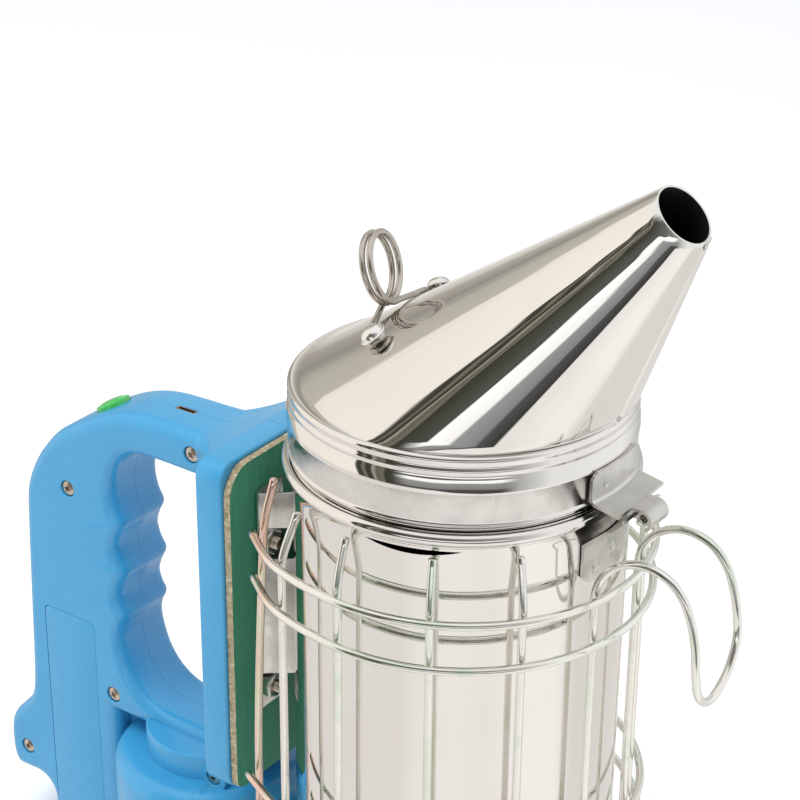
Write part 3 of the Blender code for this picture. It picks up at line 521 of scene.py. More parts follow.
def combine(obj, tools):
    """Applies (operation, bmesh) steps in order, then removes the helpers."""
    helpers = []
    for k, (operation, bm) in enumerate(tools):
        helper = raw_object(f"{obj.name}_tool_{k}", bm)
        mod = obj.modifiers.new(f"step_{k}", "BOOLEAN")
        mod.operation, mod.solver, mod.object = operation, "EXACT", helper
        helpers.append(helper)
    settle(obj)
    for helper in helpers:
        mesh = helper.data
        bpy.data.objects.remove(helper, do_unlink=True)
        bpy.data.meshes.remove(mesh)


def dress(obj, materials, body, nodes=(), sharp=38.0, bevel=0.0):
    """Smooth shading with sharp edges kept, materials, body, and the CAD nodes that it stands for."""
    obj.data.materials.clear()
    for mat in materials if isinstance(materials, (list, tuple)) else (materials,):
        obj.data.materials.append(mat)
    if bevel:
        mod = obj.modifiers.new("soft_edges", "BEVEL")
        mod.width, mod.segments, mod.limit_method = bevel * MM, 2, "ANGLE"
        mod.angle_limit = math.radians(35)
        settle(obj)
    obj.data.polygons.foreach_set("use_smooth", [True] * len(obj.data.polygons))
    obj.data.set_sharp_from_angle(angle=math.radians(sharp))
    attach(obj, body)
    if nodes:
        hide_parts(*nodes)
    return obj


def on_circle(r, degrees, z):
    a = math.radians(degrees)
    return (r * math.cos(a), r * math.sin(a), z)


# ---- fire pot and lid

def pot_ripple(a, r, z):
    """Faint unevenness of rolled sheet, none at the bead."""
    fade = min(1.0, max(0.0, (190.0 - z) / 20.0))
    return fade * (0.035 * math.sin(7 * a + 0.02 * z) + 0.02 * math.sin(16 * a + 1.0 - 0.03 * z))


def build_pot(mats):
    r, w = POT_R, POT_WALL
    outer = [(0, POT_BOTTOM)] + arc(r - 1.2, POT_BOTTOM + 1.2, 1.2, -90, 0, 5)
    outer += [(r, 4 + (190 - 4) * k / 24) for k in range(25)]
    outer += [(r, 193.6), (r + 0.25, 194.0), (r + 0.3, 194.6)]
    outer += arc(r + 0.95, 197.2, 2.0, -125, 112, 18)
    outer += [(r - 0.2, 199.3), (r, 200.2), (r, POT_TOP - 0.3), (r - 0.3, POT_TOP)]
    inner = [(r - w, POT_TOP), (r - w, 150), (r - w, POT_BOTTOM + 2), (r - w - 1, POT_BOTTOM + w),
             (0, POT_BOTTOM + w)]
    pot = raw_object("pot_wall", revolve(outer + inner, ROUND, ripple=pot_ripple))
    lens = [(y, 192.9 - 1.8 * math.cos(math.pi / 2 * y / 14.0) ** 0.8) for y in range(-13, 14, 2)]
    lens = [(-14.0, 192.9)] + lens + [(14.0, 192.9)]
    slit = prism_yz(lens, 44.0, 56.0)
    bmesh.ops.rotate(slit, matrix=Matrix.Rotation(math.radians(SLIT_AZ), 3, "Z"), verts=slit.verts,
                     cent=(0, 0, 0))
    combine(pot, [("DIFFERENCE", cylinder((-60, 0, INLET_Z), (-40, 0, INLET_Z), INLET_R + GAP)),
                  ("DIFFERENCE", slit)])
    dress(pot, (mats["chrome"], mats["inside_shade"]), "smoker_body", ("fire_pot",), 40)
    for poly in pot.data.polygons:
        c = poly.center / MM
        # inside faces of the pot get the near-black painted shade, which also shows through the slit under
        # the rim
        if math.hypot(c.x, c.y) < r - w + 0.1 and c.z > POT_BOTTOM + w - 0.1:
            poly.material_index = 1
    cup_low = arc(CUP_R - 0.8, 0.8, 0.8, -90, 0, 5) + arc(CUP_R - 0.4, CUP_TOP - 0.4, 0.4, 0, 90, 4)
    cup = [(0, 0)] + cup_low + [(r + GAP, CUP_TOP), (r + GAP, POT_BOTTOM + 0.9), (r - 1.0, POT_BOTTOM - GAP),
                                (0, POT_BOTTOM - GAP)]
    dress(raw_object("foot_cup", revolve(cup, ROUND)), mats["satin"], "smoker_body", ("pot_base_cup",))


def bead_wave(z0, z1, height, steps):
    """Soft rolled bead: (radius, z) from valley to valley, or to its crest when steps stops early."""
    return [(BEAD_VALLEY + height * (1 - math.cos(2 * math.pi * k / steps)) / 2, z0 + (z1 - z0) * k / steps)
            for k in range(steps + 1)]


def build_band(mats):
    r, t, bore = SKIRT_R, SKIRT_TOP, POT_R + 0.65
    low = SKIRT_LOW - 1.3
    profile = [(bore, low + 0.2), (bore + 0.2, low)] + arc(r - 0.35, low + 0.35, 0.35, -90, 0, 4)
    profile += [(r - 0.1, low + 0.9), (r - 0.5, low + 1.2), (r - 0.1, t - 0.9), (r + 0.1, t - 0.7)]
    profile += [(r + 0.12 - 1.75 * (1 - math.cos(a)), t - 0.5 + 5.6 * math.sin(a))
                for a in (math.radians(50 * k / 9) for k in range(10))]
    profile += bead_wave(216.45, BAND_TOP + 0.05, 0.45, 14)
    profile += [(bore - 0.9, BAND_TOP + 0.05), (bore - 0.9, t + 0.4), (bore, t - 0.4)]

    def ripple(a, radius, z):
        strength = min(1.0, max(0.0, (216.0 - z) / 3.0)) if radius > bore else 0.0
        return strength * (0.03 * math.sin(9 * a + 0.4) + 0.02 * math.sin(21 * a))

    band = raw_object("lid_rim_band", revolve(profile, ROUND, ripple=ripple))
    dress(band, (mats["chrome"], mats["skirt"], mats["inside_shade"]), "lid", ("lid_band",), 50)
    for poly in band.data.polygons:
        # bore faces of the band get the near-black painted shade
        c = poly.center / MM
        if math.hypot(c.x, c.y) < bore - 0.4 or math.hypot(c.x, c.y) < bore + 0.1 and c.z < t:
            poly.material_index = 2
        elif low + 1.1 < c.z < t - 0.9:
            poly.material_index = 1


def cone_point(degrees, t, inset=0.0):
    """Point on the outer cone surface: t from 0 at the base to 1 at the mouth."""
    a, c = math.radians(degrees), math.radians(MOUTH_TILT)
    low = CONE_LOW_R - inset
    base = Vector((low * math.cos(a), low * math.sin(a), CONE_LOW_Z))
    down = Vector((math.sin(c), 0, -math.cos(c)))
    rim = Vector((MOUTH[0], 0, MOUTH[1]))
    rim += (MOUTH_R - inset) * (math.cos(a) * down + math.sin(a) * Vector((0, 1, 0)))
    return base.lerp(rim, t)


def cone_normal(degrees, t):
    along = cone_point(degrees, t + 0.01) - cone_point(degrees, t - 0.01)
    across = cone_point(degrees + 1, t) - cone_point(degrees - 1, t)
    n = across.cross(along).normalized()
    outward = Vector((math.cos(math.radians(degrees)), math.sin(math.radians(degrees)), 0.3))
    return n if n.dot(outward) > 0 else -n


def cone_relief(degrees, t):
    """Height above the true cone: sheet waves along its rulings and the folded seam."""
    a = math.radians(degrees)
    waves = 0.020 * math.sin(13 * a + 1.3 + 1.2 * t) + 0.013 * math.sin(29 * a + 2.6 * t)
    waves += 0.008 * math.sin(53 * a + 0.5 - 4.0 * t)
    turn = abs((degrees - SEAM_AZ + 180) % 360 - 180)
    seam = max(0.0, min(1.0, (SEAM_HALF - turn) / 0.5))
    return waves * (1 - 0.7 * t) + 0.55 * seam * seam * (3 - 2 * seam)


def build_cone(mats):
    edges = [SEAM_AZ + s * (SEAM_HALF - d) for s in (-1, 1) for d in (0.0, 0.12, 0.25, 0.38, 0.5)]
    azimuths = sorted([360 * k / 288 for k in range(288)] + edges)
    bead = [(50.15, BAND_TOP - 0.25)] + bead_wave(BAND_TOP + 0.05, 222.55, 0.4, 16)[:9]
    bead += arc(49.3, 220.9, 1.3, 12, 105, 9)
    outer = [[on_circle(r, az, z) for az in azimuths] for r, z in bead]
    for t in [0.034 + 0.966 * k / 28 for k in range(29)]:
        outer.append([cone_point(az, t) + cone_normal(az, t) * cone_relief(az, t) for az in azimuths])
    lip = [[cone_point(az, 1.0 + 0.0012, 0.12) for az in azimuths],
           [cone_point(az, 1.0, 0.62) for az in azimuths]]
    inner = [[cone_point(az, t, CONE_WALL) for az in azimuths] for t in (0.985, 0.75, 0.5, 0.25, 0.035)]
    inner.append([on_circle(49.3 - CONE_WALL, az, BAND_TOP) for az in azimuths])
    cone = raw_object("spout_cone_sheet", loft(outer + lip + inner, closed=True))
    dress(cone, (mats["chrome"], mats["inside_shade"]), "lid", ("spout_cone",), 60)
    count = len(azimuths)
    first_inner = (len(outer) + len(lip)) * count
    # inside faces of the cone get the near-black painted shade
    for poly in cone.data.polygons:
        if min(poly.vertices) >= first_inner - count:
            poly.material_index = 1


def eye_path(az, t, start, sense):
    """Wire end bent three quarters of the way round a rivet shank."""
    p, n = cone_point(az, t), cone_normal(az, t)
    centre = p + n * 1.28
    e = start - centre
    e = (e - n * e.dot(n)).normalized()
    f = n.cross(e) * sense
    r = 1.4 + COIL_WIRE_R + 0.25
    loop = [centre + r * (math.cos(a) * e + math.sin(a) * f)
            for a in (math.radians(d) for d in (285, 240, 195, 150, 105, 62))]
    return loop + [centre + 5.4 * e + 1.7 * f + 0.25 * n]


def build_coil(mats):
    lean, turn = math.radians(COIL_LEAN), math.radians(COIL_TURN)
    n = Vector((math.cos(lean) * math.cos(turn), math.cos(lean) * math.sin(turn), math.sin(lean)))
    side = Vector((0, 0, 1)).cross(n).normalized()
    up = n.cross(side)
    coil = []
    for i in range(37):
        f = i / 36
        a = 2 * math.pi * COIL_TURNS * f - math.pi * 0.5
        coil.append(Vector(COIL_C) + n * COIL_PITCH * COIL_TURNS * (f - 0.5)
                    + COIL_R * (math.cos(a) * side + math.sin(a) * up))
    (_, az_r, t_r), (_, az_l, t_l) = RIVETS
    first, last = eye_path(az_r, t_r, coil[0], 1), eye_path(az_l, t_l, coil[-1], -1)
    path = (first + [first[-1].lerp(coil[0], 0.5)] + coil
            + [coil[-1].lerp(last[-1], 0.5)] + list(reversed(last)))
    dress(raw_object("lid_coil", wire(path, COIL_WIRE_R, 0.8)), mats["satin_wire"], "lid", ("coil_handle",),
          50)


def build_rivets(mats):
    dome = [(0, -2.2), (1.4, -2.2), (1.4, 2.35), (3.9, 2.35)] + arc(3.9, 2.6, 0.25, -90, 60, 4)
    dome += [(3.5, 2.95)] + [(3.4 * math.cos(a), 3.0 + 2.2 * math.sin(a))
                             for a in (math.radians(12 + 78 * k / 10) for k in range(10))] + [(0, 5.2)]
    for name, az, t in RIVETS:
        rivet = raw_object(name + "_dome", turned(dome, cone_point(az, t), cone_normal(az, t), 40))
        dress(rivet, mats["bright"], "lid", (name,), 50)


# ---- guard

def foot_points(az):
    return [on_circle(CUP_R + WIRE_R + GAP, az, 2.5), on_circle(CUP_R + WIRE_R + 0.5, az, 8.0),
            on_circle(UPRIGHT_R, az, 18.0)]


def ring_path(z, reach, steps=40):
    """Hoop round the pot whose ends run on straight past the bracket."""
    path = [on_circle(RING_R, -98 + 196 * i / steps, z) for i in range(steps + 1)]
    tail = [(110, 58.4), (122, 59.9), (RING_END_AZ, reach)]
    return ([on_circle(r, -az, z) for az, r in reversed(tail)] + path
            + [on_circle(r, az, z) for az, r in tail])


def upright_path(az):
    if abs(az) > 130:
        rise = ((56.0, 20), (60.3, 40), (61.0, 70), (60.8, 108), (58.6, 165), (57.6, 178), (54.7, 191))
        return foot_points(az)[:2] + [on_circle(r, az, z) for r, z in rise]
    if abs(az) > 110:
        rise = ((57.0, 40), (57.0, 80), (57.0, 130), (57.0, 170), (56.6, 176), (51.8, 189.5))
        return foot_points(az) + [on_circle(r, az, z) for r, z in rise]
    top = [on_circle(UPRIGHT_R, az, z) for z in (30, 60, 100, 140, 170, 178)]
    return foot_points(az) + top + [on_circle(UPRIGHT_R - 0.8, az, 181.5), on_circle(51.2, az, 191.5)]


def build_guard(mats):
    for k, (z, reach) in enumerate(zip(RING_Z, RING_REACH)):
        dress(raw_object(f"guard_hoop_{k + 1}", wire(ring_path(z, reach), WIRE_R, 2.5)), mats["zinc"],
              "smoker_body", (f"guard_ring_{k + 1}",), 50)
    azimuths = list(UPRIGHT_AZ) + [-a for a in UPRIGHT_AZ]
    for k, az in enumerate(azimuths):
        dress(raw_object(f"guard_upright_{k + 1}", wire(upright_path(az), WIRE_R, 2.5)), mats["zinc"],
              "smoker_body", (f"guard_wire_{k + 1}",), 50)
    az = math.degrees(math.asin(HOOK_Y / UPRIGHT_R))
    straight = [(53.3, z) for z in (30.0, 60.0, 100.0, 140.0, 168.0)]
    arm = straight + [(53.4, 175.0), (55.2, 180.5), (59.2, 185.2), (65.0, 188.2), (71.0, 188.6),
                      (76.6, 186.6),
                      (81.0, 182.0), (83.6, 176.0), (85.3, 169.0), (86.1, 161.0)]
    near = [(x, -HOOK_Y, z) for x, z in arm]
    far = [(x, HOOK_Y, z) for x, z in reversed(arm)]
    loop = [(86.5, -11.0, 154.0), (86.6, -7.2, 149.1), (86.6, -2.0, 147.5), (86.6, 3.6, 149.5),
            (86.5, 8.6, 153.7)]
    path = foot_points(-az) + near + loop + far + list(reversed(foot_points(az)))
    dress(raw_object("hanging_hook", wire(path, WIRE_R, 1.2)), mats["zinc"], "smoker_body", ("guard_hook",),
          50)


# ---- hinge, bracket, board

def leaf_loops(profile_at, steps=28):
    return [profile_at(LEAF_Y0 + (LEAF_Y1 - LEAF_Y0) * k / steps) for k in range(steps + 1)]


def weld_dimple(at, degrees):
    """Shallow raised ring left by a spot weld."""
    a = math.radians(degrees)
    return turned([(0, -0.4), (1.25, -0.4), (1.25, 0.72), (1.0, 0.98), (0.7, 0.9), (0, 0.74)], at,
                  (math.cos(a), math.sin(a), 0), 20)


def build_hinge(mats):
    def upper(y):
        x = math.sqrt((SKIRT_R + GAP) ** 2 - y * y)
        return [(x, y, 202.9), (x, y, 211.6), (x + LEAF_T, y, 211.6), (x + LEAF_T, y, 203.4),
                (x + 1.6, y, 202.7),
                (59.4, y, 201.25), (59.4, y, 200.3), (x + 1.4, y, 201.8)]

    roll = [(57.0, PIN[1] + ROLL_R)]
    roll += [(x, z) for x, z in arc(PIN[0], PIN[1], ROLL_R, 90, -60, 24)]
    roll += [(x, z) for x, z in arc(PIN[0], PIN[1], ROLL_BORE, -60, 90, 20)] + [(57.0, PIN[1] + ROLL_BORE)]
    leaf = raw_object("upper_leaf_plate", loft(leaf_loops(upper)))
    corner = 3.0
    cuts = []
    for y, s in ((LEAF_Y0, 1), (LEAF_Y1, -1)):
        wedge = prism_yz([(y - s, 212.6), (y + s * corner, 212.6), (y + s * 0.55 * corner, 211.2),
                          (y + s * 0.2 * corner, 210.3), (y - s * 0.1, 208.6), (y - s, 208.6)], 45, 60)
        cuts.append(("DIFFERENCE", wedge))
    cuts += [("UNION", weld_dimple((51.0, -6.3, 206.7), -7))]
    combine(leaf, [("UNION", prism_xz(roll, ROLL_Y0, ROLL_Y1))] + cuts)
    dress(leaf, mats["satin"], "lid", ("hinge_leaf_upper",), 30)

    def lower(y):
        x = math.sqrt((POT_R + GAP) ** 2 - y * y)
        return [(x, y, 176.0), (x, y, 188.6), (59.2, y, 198.6), (59.9, y, 198.0),
                (x + LEAF_T + 0.4, y, 188.3),
                (x + LEAF_T, y, 187.6), (x + LEAF_T, y, 176.0)]

    low = raw_object("lower_leaf_plate", loft(leaf_loops(lower)))
    r, b = 2.1, PIN_R + GAP
    lug = turned(((b, 0), (r, 0), (r, 6.6), (b, 6.6)), (PIN[0], -3.4, PIN[1]), (0, 1, 0), 32)
    arm = box(58.4, PIN[0] - b - 0.15, -3.2, 3.0, PIN[1] - 0.7, PIN[1] + 0.3)
    cuts = []
    for y, s in ((LEAF_Y0, 1), (LEAF_Y1, -1)):
        cuts.append(("DIFFERENCE", prism_yz([(y - s, 175), (y + s * 3.5, 175), (y - s, 179.5)], 45, 60)))
        cuts.append(("DIFFERENCE", prism_yz([(y - s, 199.5), (y + s * 3.0, 199.5), (y - s, 194.0)], 45, 65)))
    cuts += [("UNION", weld_dimple(at, turn)) for at, turn in (((49.96, 1.35, 182.8), 1.5),
                                                                  ((49.5, -7.0, 180.0), -8))]
    combine(low, [("UNION", arm), ("UNION", lug)] + cuts)
    dress(low, mats["satin"], "smoker_body", ("hinge_leaf_lower",), 30)
    length = 11.8
    rod = [(0, 0)] + arc(PIN_R - 0.3, 0.3, 0.3, -90, 0, 3) + arc(PIN_R - 0.3, length - 0.3, 0.3, 0, 90, 3)
    pin = raw_object("hinge_rod", turned(rod + [(0, length)], (PIN[0], -6.0, PIN[1]), (0, 1, 0), 24))
    dress(pin, mats["zinc"], "smoker_body", ("hinge_pin",))


def bracket_outline():
    """Hat section seen from above: pad on the pot, flared webs, feet turned in against the board."""
    r = POT_R + GAP
    start = [(-60.0, -9.0), (-60.0, -20.0), (-59.8, -20.9), (-59.2, -21.4), (-58.4, -21.2), (-50.4, -15.2),
             (-49.6, -14.2)]
    line = start + [(-math.sqrt((r + 0.5) ** 2 - y * y), y) for y in range(-12, 13, 2)]
    line += [(x, -y) for x, y in reversed(start)]
    left, right = [], []
    for i, p in enumerate(line):
        a, b = line[max(0, i - 1)], line[min(len(line) - 1, i + 1)]
        d = Vector((b[0] - a[0], b[1] - a[1])).normalized() * 0.5
        left.append((p[0] - d.y, p[1] + d.x))
        right.append((p[0] + d.y, p[1] - d.x))
    return left + right[::-1]


def bolt_places():
    return [(y, z) for z in BOLT_Z for y in (-BOLT_Y, BOLT_Y)]


def build_bracket(mats):
    outline = bracket_outline()
    bracket = raw_object("bent_bracket", loft(
        [[(x, y, z) for x, y in outline] for z in (BRACKET_Z0, BRACKET_Z1)]))
    cuts = [("DIFFERENCE", box(-59.4, -40, -40, 40, 90, 110.8)),
            ("DIFFERENCE", box(-59.4, -40, -40, 40, 152.0, 163.0))]
    cuts += [("DIFFERENCE", cylinder((-75, y, z), (-57, y, z), 2.3)) for y, z in bolt_places()]
    combine(bracket, cuts)
    dress(bracket, mats["satin"], "smoker_body", ("mounting_bracket",), 35, bevel=0.1)
    for k, (y, z) in enumerate(bolt_places()):
        head = [(0, -3.0), (2.2, -2.85), (3.4, -2.4), (4.0, -1.7), (4.2, -1.0), (4.2, -0.1), (4.1, 0),
                (2.0, 0), (2.0, 12)]
        threads = [(2.0 - 0.22 * (i % 2), 12 + 0.35 * i) for i in range(1, 23)]
        bolt = turned(head + threads + [(1.7, 20.3), (1.3, 20.4), (0, 20.4)], (FLANGE_X0 - GAP, y, z),
                      (1, 0, 0), 32)
        bolt = raw_object(f"bolt_{k + 1}", bolt)
        cross_x = FLANGE_X0 - 4.2, FLANGE_X0 - 2.3
        combine(bolt, [("DIFFERENCE", box(*cross_x, y - 5, y + 5, z - 0.45, z + 0.45)),
                       ("DIFFERENCE", box(*cross_x, y - 0.45, y + 0.45, z - 5, z + 5))])
        dress(bolt, mats["nickel"], "smoker_body", (f"bracket_bolt_{k + 1}",), 30)
        nut = turned(((2.3, 0.1), (3.9, 0), (4.5, 0.5), (4.5, 3.3), (3.9, 3.8), (2.3, 3.7)),
                     (-59.5 + GAP, y, z), (1, 0, 0), 6)
        dress(raw_object(f"nut_{k + 1}", nut), mats["satin"], "smoker_body", (f"bracket_nut_{k + 1}",),
              25,
              bevel=0.15)


def plate_outline(w, z0, z1, top, low):
    return rounded_corners([(w, z0), (w, z1), (-w, z1), (-w, z0)], [low, top, top, low], 10)


def build_board(mats):
    outline = plate_outline(BOARD_Y, BOARD_Z0, BOARD_Z1, 10.0, 4.0)
    fine = []
    for a, b in zip(outline, outline[1:] + outline[:1]):
        count = max(1, round(math.dist(a, b) / 0.7))
        fine += [(a[0] + (b[0] - a[0]) * k / count, a[1] + (b[1] - a[1]) * k / count) for k in range(count)]
    loops = []
    for k in range(6):
        x = BOARD_X0 + (BOARD_X1 - BOARD_X0) * k / 5
        ragged = []
        for y, z in fine:
            n = (noise.noise(Vector((x * 1.3, y * 0.9, z * 0.9)))
                 + 0.6 * noise.noise(Vector((x, y * 2.7, z * 2.7))))
            scale = 1.0 - max(0.0, 0.16 * (0.5 + n)) / 33.0
            ragged.append((x, y * scale, (z - 128.5) * (1.0 - max(0.0, 0.16 * (0.5 + n)) / 57.5) + 128.5))
        loops.append(ragged)
    board = raw_object("fibre_board", loft(loops))
    combine(board, [("DIFFERENCE", cylinder((-75, y, z), (-57, y, z), 2.3)) for y, z in bolt_places()])
    dress(board, (mats["board"], mats["board_edge"]), "smoker_body", ("heat_board",), 60)
    for poly in board.data.polygons:
        if abs(poly.normal.x) < 0.7:
            poly.material_index = 1


# ---- housing

def outer_outline():
    return [OUTER[0]] + [(p.x, p.y) for p in smooth_path(OUTER[1:], 1.6)] + list(OUTER_CORNERS)


def opening_outline():
    return [(-66, 165.7)] + [(p.x, p.y) for p in smooth_path(OPENING, 1.2)] + [(-66, 69.0)]


def opening_cutter():
    """D-shaped hole whose side edges flare out in a wide fillet."""
    radius = 4.6
    steps = [(-H_HALF - 2, radius + 1.2)]
    for k in range(9):
        a = math.pi / 2 * k / 8
        steps.append((-H_HALF + radius * (1 - math.cos(a)), radius * (1 - math.sin(a)) * 0.86))
    both = steps + [(-y, d) for y, d in reversed(steps)]
    outline = opening_outline()
    return loft([[(x, y, z) for x, z in offset(outline, -d)] for y, d in both])


def cavity_outline():
    inner = [p for p in offset(list(OUTER) + list(OUTER_CORNERS), H_WALL)[1:29]]
    inner[0] = (-78.0, 179.0)
    guard = offset([(-66, 165.7)] + list(OPENING) + [(-66, 69.0)], -H_WALL)[1:24]
    rear = [p for p in guard if p[0] < -84]
    floor = [(-133.8, 2.4), (-133.8, 70.0)]
    return inner + floor + [p for p in reversed(rear) if p[1] > 72] + [(-78.0, 168.0)]


def button_line():
    t = math.radians(BUTTON_TILT)
    return Vector((BUTTON[0], 0, BUTTON[1])), Vector((-math.sin(t), 0, math.cos(t)))


def door_outline(grow):
    x0, x1, z0, z1 = DOOR
    return rounded_corners([(x0 - grow, z0 - grow), (x1 + grow, z0 - grow), (x1 + grow, z1 + grow),
                            (x0 - grow, z1 + grow)], 2.2, 5)


def screw_face(k):
    return (H_HALF, H_HALF, H_HALF, H_HALF, BOSS_Y)[k]


def flare_section(t):
    """Cross section of the shoulder that spreads from the handle top to the flange."""
    x, f = -97.0 + (FLANGE_X0 + 1.0 + 97.0) * t, t ** 1.8
    w, top, r = 11.0 + 22.6 * f, 180.4 + 6.4 * f, 4.0 + f
    half = [(w, 171.5 - 2 * f)] + arc(w - r, top - r, r, 0, 90, 7)
    return [(x, y, z) for y, z in half + [(-y, z) for y, z in reversed(half)]]


def housing_steps(side):
    r, z = DRUM_R, DRUM_Z1
    flange = rounded_corners([(FLANGE_Y, FLANGE_Z0), (FLANGE_Y, FLANGE_Z1), (-FLANGE_Y, FLANGE_Z1),
                              (-FLANGE_Y, FLANGE_Z0)], [6.0, 6.0, 6.0, 6.0], 8)
    middle, half = (FLANGE_X0 + FLANGE_X1) / 2, (FLANGE_X1 - FLANGE_X0) / 2
    dome = [(0, DRUM_Z0), (r, DRUM_Z0)] + arc(r - 6.0, z - 6.0, 6.0, 0, 90, 9) + [(0, z)]
    neck = [(0, 50), (NECK_R, 50)] + arc(NECK_R - 1.0, NECK_Z1 - 1.0, 1.0, 0, 90, 4) + [(0, NECK_Z1)]
    c, n = button_line()
    steps = [("DIFFERENCE", opening_cutter()),
             ("UNION", rounded_prism(flange, middle, half, 1.0, "x", 3)),
             ("UNION", loft([flare_section(k / 16) for k in range(17)])),
             ("UNION", revolve(dome, 120, (DRUM_X, 0))),
             ("UNION", revolve(neck, 96, (DRUM_X, 0))),
             ("UNION", box(-133, -112, -5, 5, 50, 63)),
             ("UNION", cylinder((SCREWS[4][0], -8, SCREWS[4][1]), (SCREWS[4][0], -BOSS_Y, SCREWS[4][1]),
                                5.2, 40)),
             ("UNION", cylinder((-90, 0, INLET_Z), (-58.5, 0, INLET_Z), INLET_R + 2.4, 48)),
             ("DIFFERENCE", prism_xz(cavity_outline(), -(H_HALF - H_WALL), H_HALF - H_WALL)),
             ("DIFFERENCE", revolve(((0, DRUM_Z0 - 1), (r - 2.4, DRUM_Z0 - 1), (r - 2.4, z - 5.4),
                                     (r - 6.6, z - 2.4),
                                     (0, z - 2.4)), 64, (DRUM_X, 0))),
             ("DIFFERENCE", revolve(((0, 50.5), (12.4, 50.5), (12.4, 63.0), (0, 63.0)), 40, (DRUM_X, 0))),
             ("DIFFERENCE", cylinder((-84.7, 0, INLET_Z), (-50, 0, INLET_Z), INLET_R + GAP, 50)),
             ("DIFFERENCE", cylinder(c - n * 8, c + n * 8, BUTTON_R + 0.35, 48)),
             ("DIFFERENCE", prism_xy(rounded_corners([(USB[0] - 4.0, -1.15), (USB[0] + 4.0, -1.15),
                                                      (USB[0] + 4.0, 1.15), (USB[0] - 4.0, 1.15)], 0.5, 4),
                                     USB[1] - 9, USB[1] + 6))]
    if side < 0:
        steps.append(("DIFFERENCE", prism_xz(door_outline(0.0), -H_HALF - 3, -H_HALF + H_WALL + 3)))
    steps += [("DIFFERENCE", cylinder((-75, y, z0), (-57, y, z0), 2.3)) for y, z0 in bolt_places()]
    for k, (x, z0) in enumerate(SCREWS):
        y = screw_face(k)
        if side > 0:
            steps.append(("UNION", cylinder((x, 0.3, z0), (x, y - 1.0, z0), 3.2, 24)))
            steps.append(("DIFFERENCE", cylinder((x, -1, z0), (x, y - 4.0, z0), 1.3, 16)))
        else:
            sink = [(0, 0), (2.9, 0), (2.9, 1.75), (3.2, 2.0), (3.2, 8.0), (0, 8.0)]
            steps.append(("DIFFERENCE", turned(sink, (x, -y + 2.0, z0), (0, -1, 0), 36)))
            steps.append(("DIFFERENCE", cylinder((x, -y - 1, z0), (x, 2, z0), 1.3, 16)))
    near, far = (-SPLIT, 60) if side < 0 else (-60, SPLIT)
    steps.append(("DIFFERENCE", box(-220, -40, near, far, -10, 220)))
    return steps


def prism_xy(outline, z0, z1):
    return loft([[(x, y, z) for x, y in outline] for z in (z0, z1)])


def build_housing(mats):
    for name, side in (("housing_right", -1), ("housing_left", 1)):
        shell = raw_object(name + "_shell", rounded_prism(outer_outline(), 0.0, H_HALF, H_ROUND))
        combine(shell, housing_steps(side))
        dress(shell, mats["blue"], "smoker_body", (name,), 32)
    slab = rounded_prism(door_outline(-0.14), -H_HALF + 0.9, 0.9, 0.25, "y", 2)
    dress(raw_object("battery_cover", slab), mats["blue"], "door", ("battery_door",), 40)


def build_screws(mats):
    for k, (x, z) in enumerate(SCREWS):
        y = screw_face(k)
        body = [(0, 0), (1.0, 0), (1.0, y + 1.3), (2.65, y + 1.35), (2.75, y + 1.9), (2.5, y + 2.45),
                (1.6, y + 2.85),
                (0, y + 3.05)]
        screw = raw_object(f"phillips_screw_{k + 1}", turned(body, (x, 3.0, z), (0, -1, 0), 36))
        top = -(y + 0.05)
        cross = [("DIFFERENCE", rotated_bar(x, top, z, math.radians(20 + 37 * k), w)) for w in (0, 1)]
        combine(screw, cross)
        dress(screw, mats["nickel"], "smoker_body", (f"case_screw_{k + 1}",), 30)


def rotated_bar(x, y, z, angle, quarter):
    """Tapered bar of a cross recess, sunk into a screw head that faces -Y."""
    bm = bmesh.new()
    bmesh.ops.create_cube(bm, size=1.0)
    for v in bm.verts:
        deep = v.co.y > 0
        v.co = Vector((v.co.x * (1.6 if deep else 3.3), v.co.y * 2.2, v.co.z * (0.5 if deep else 0.8)))
    bmesh.ops.rotate(bm, matrix=Matrix.Rotation(angle + quarter * math.pi / 2, 3, "Y"), verts=bm.verts,
                     cent=(0, 0, 0))
    bmesh.ops.translate(bm, vec=(x, y, z), verts=bm.verts)
    return bm


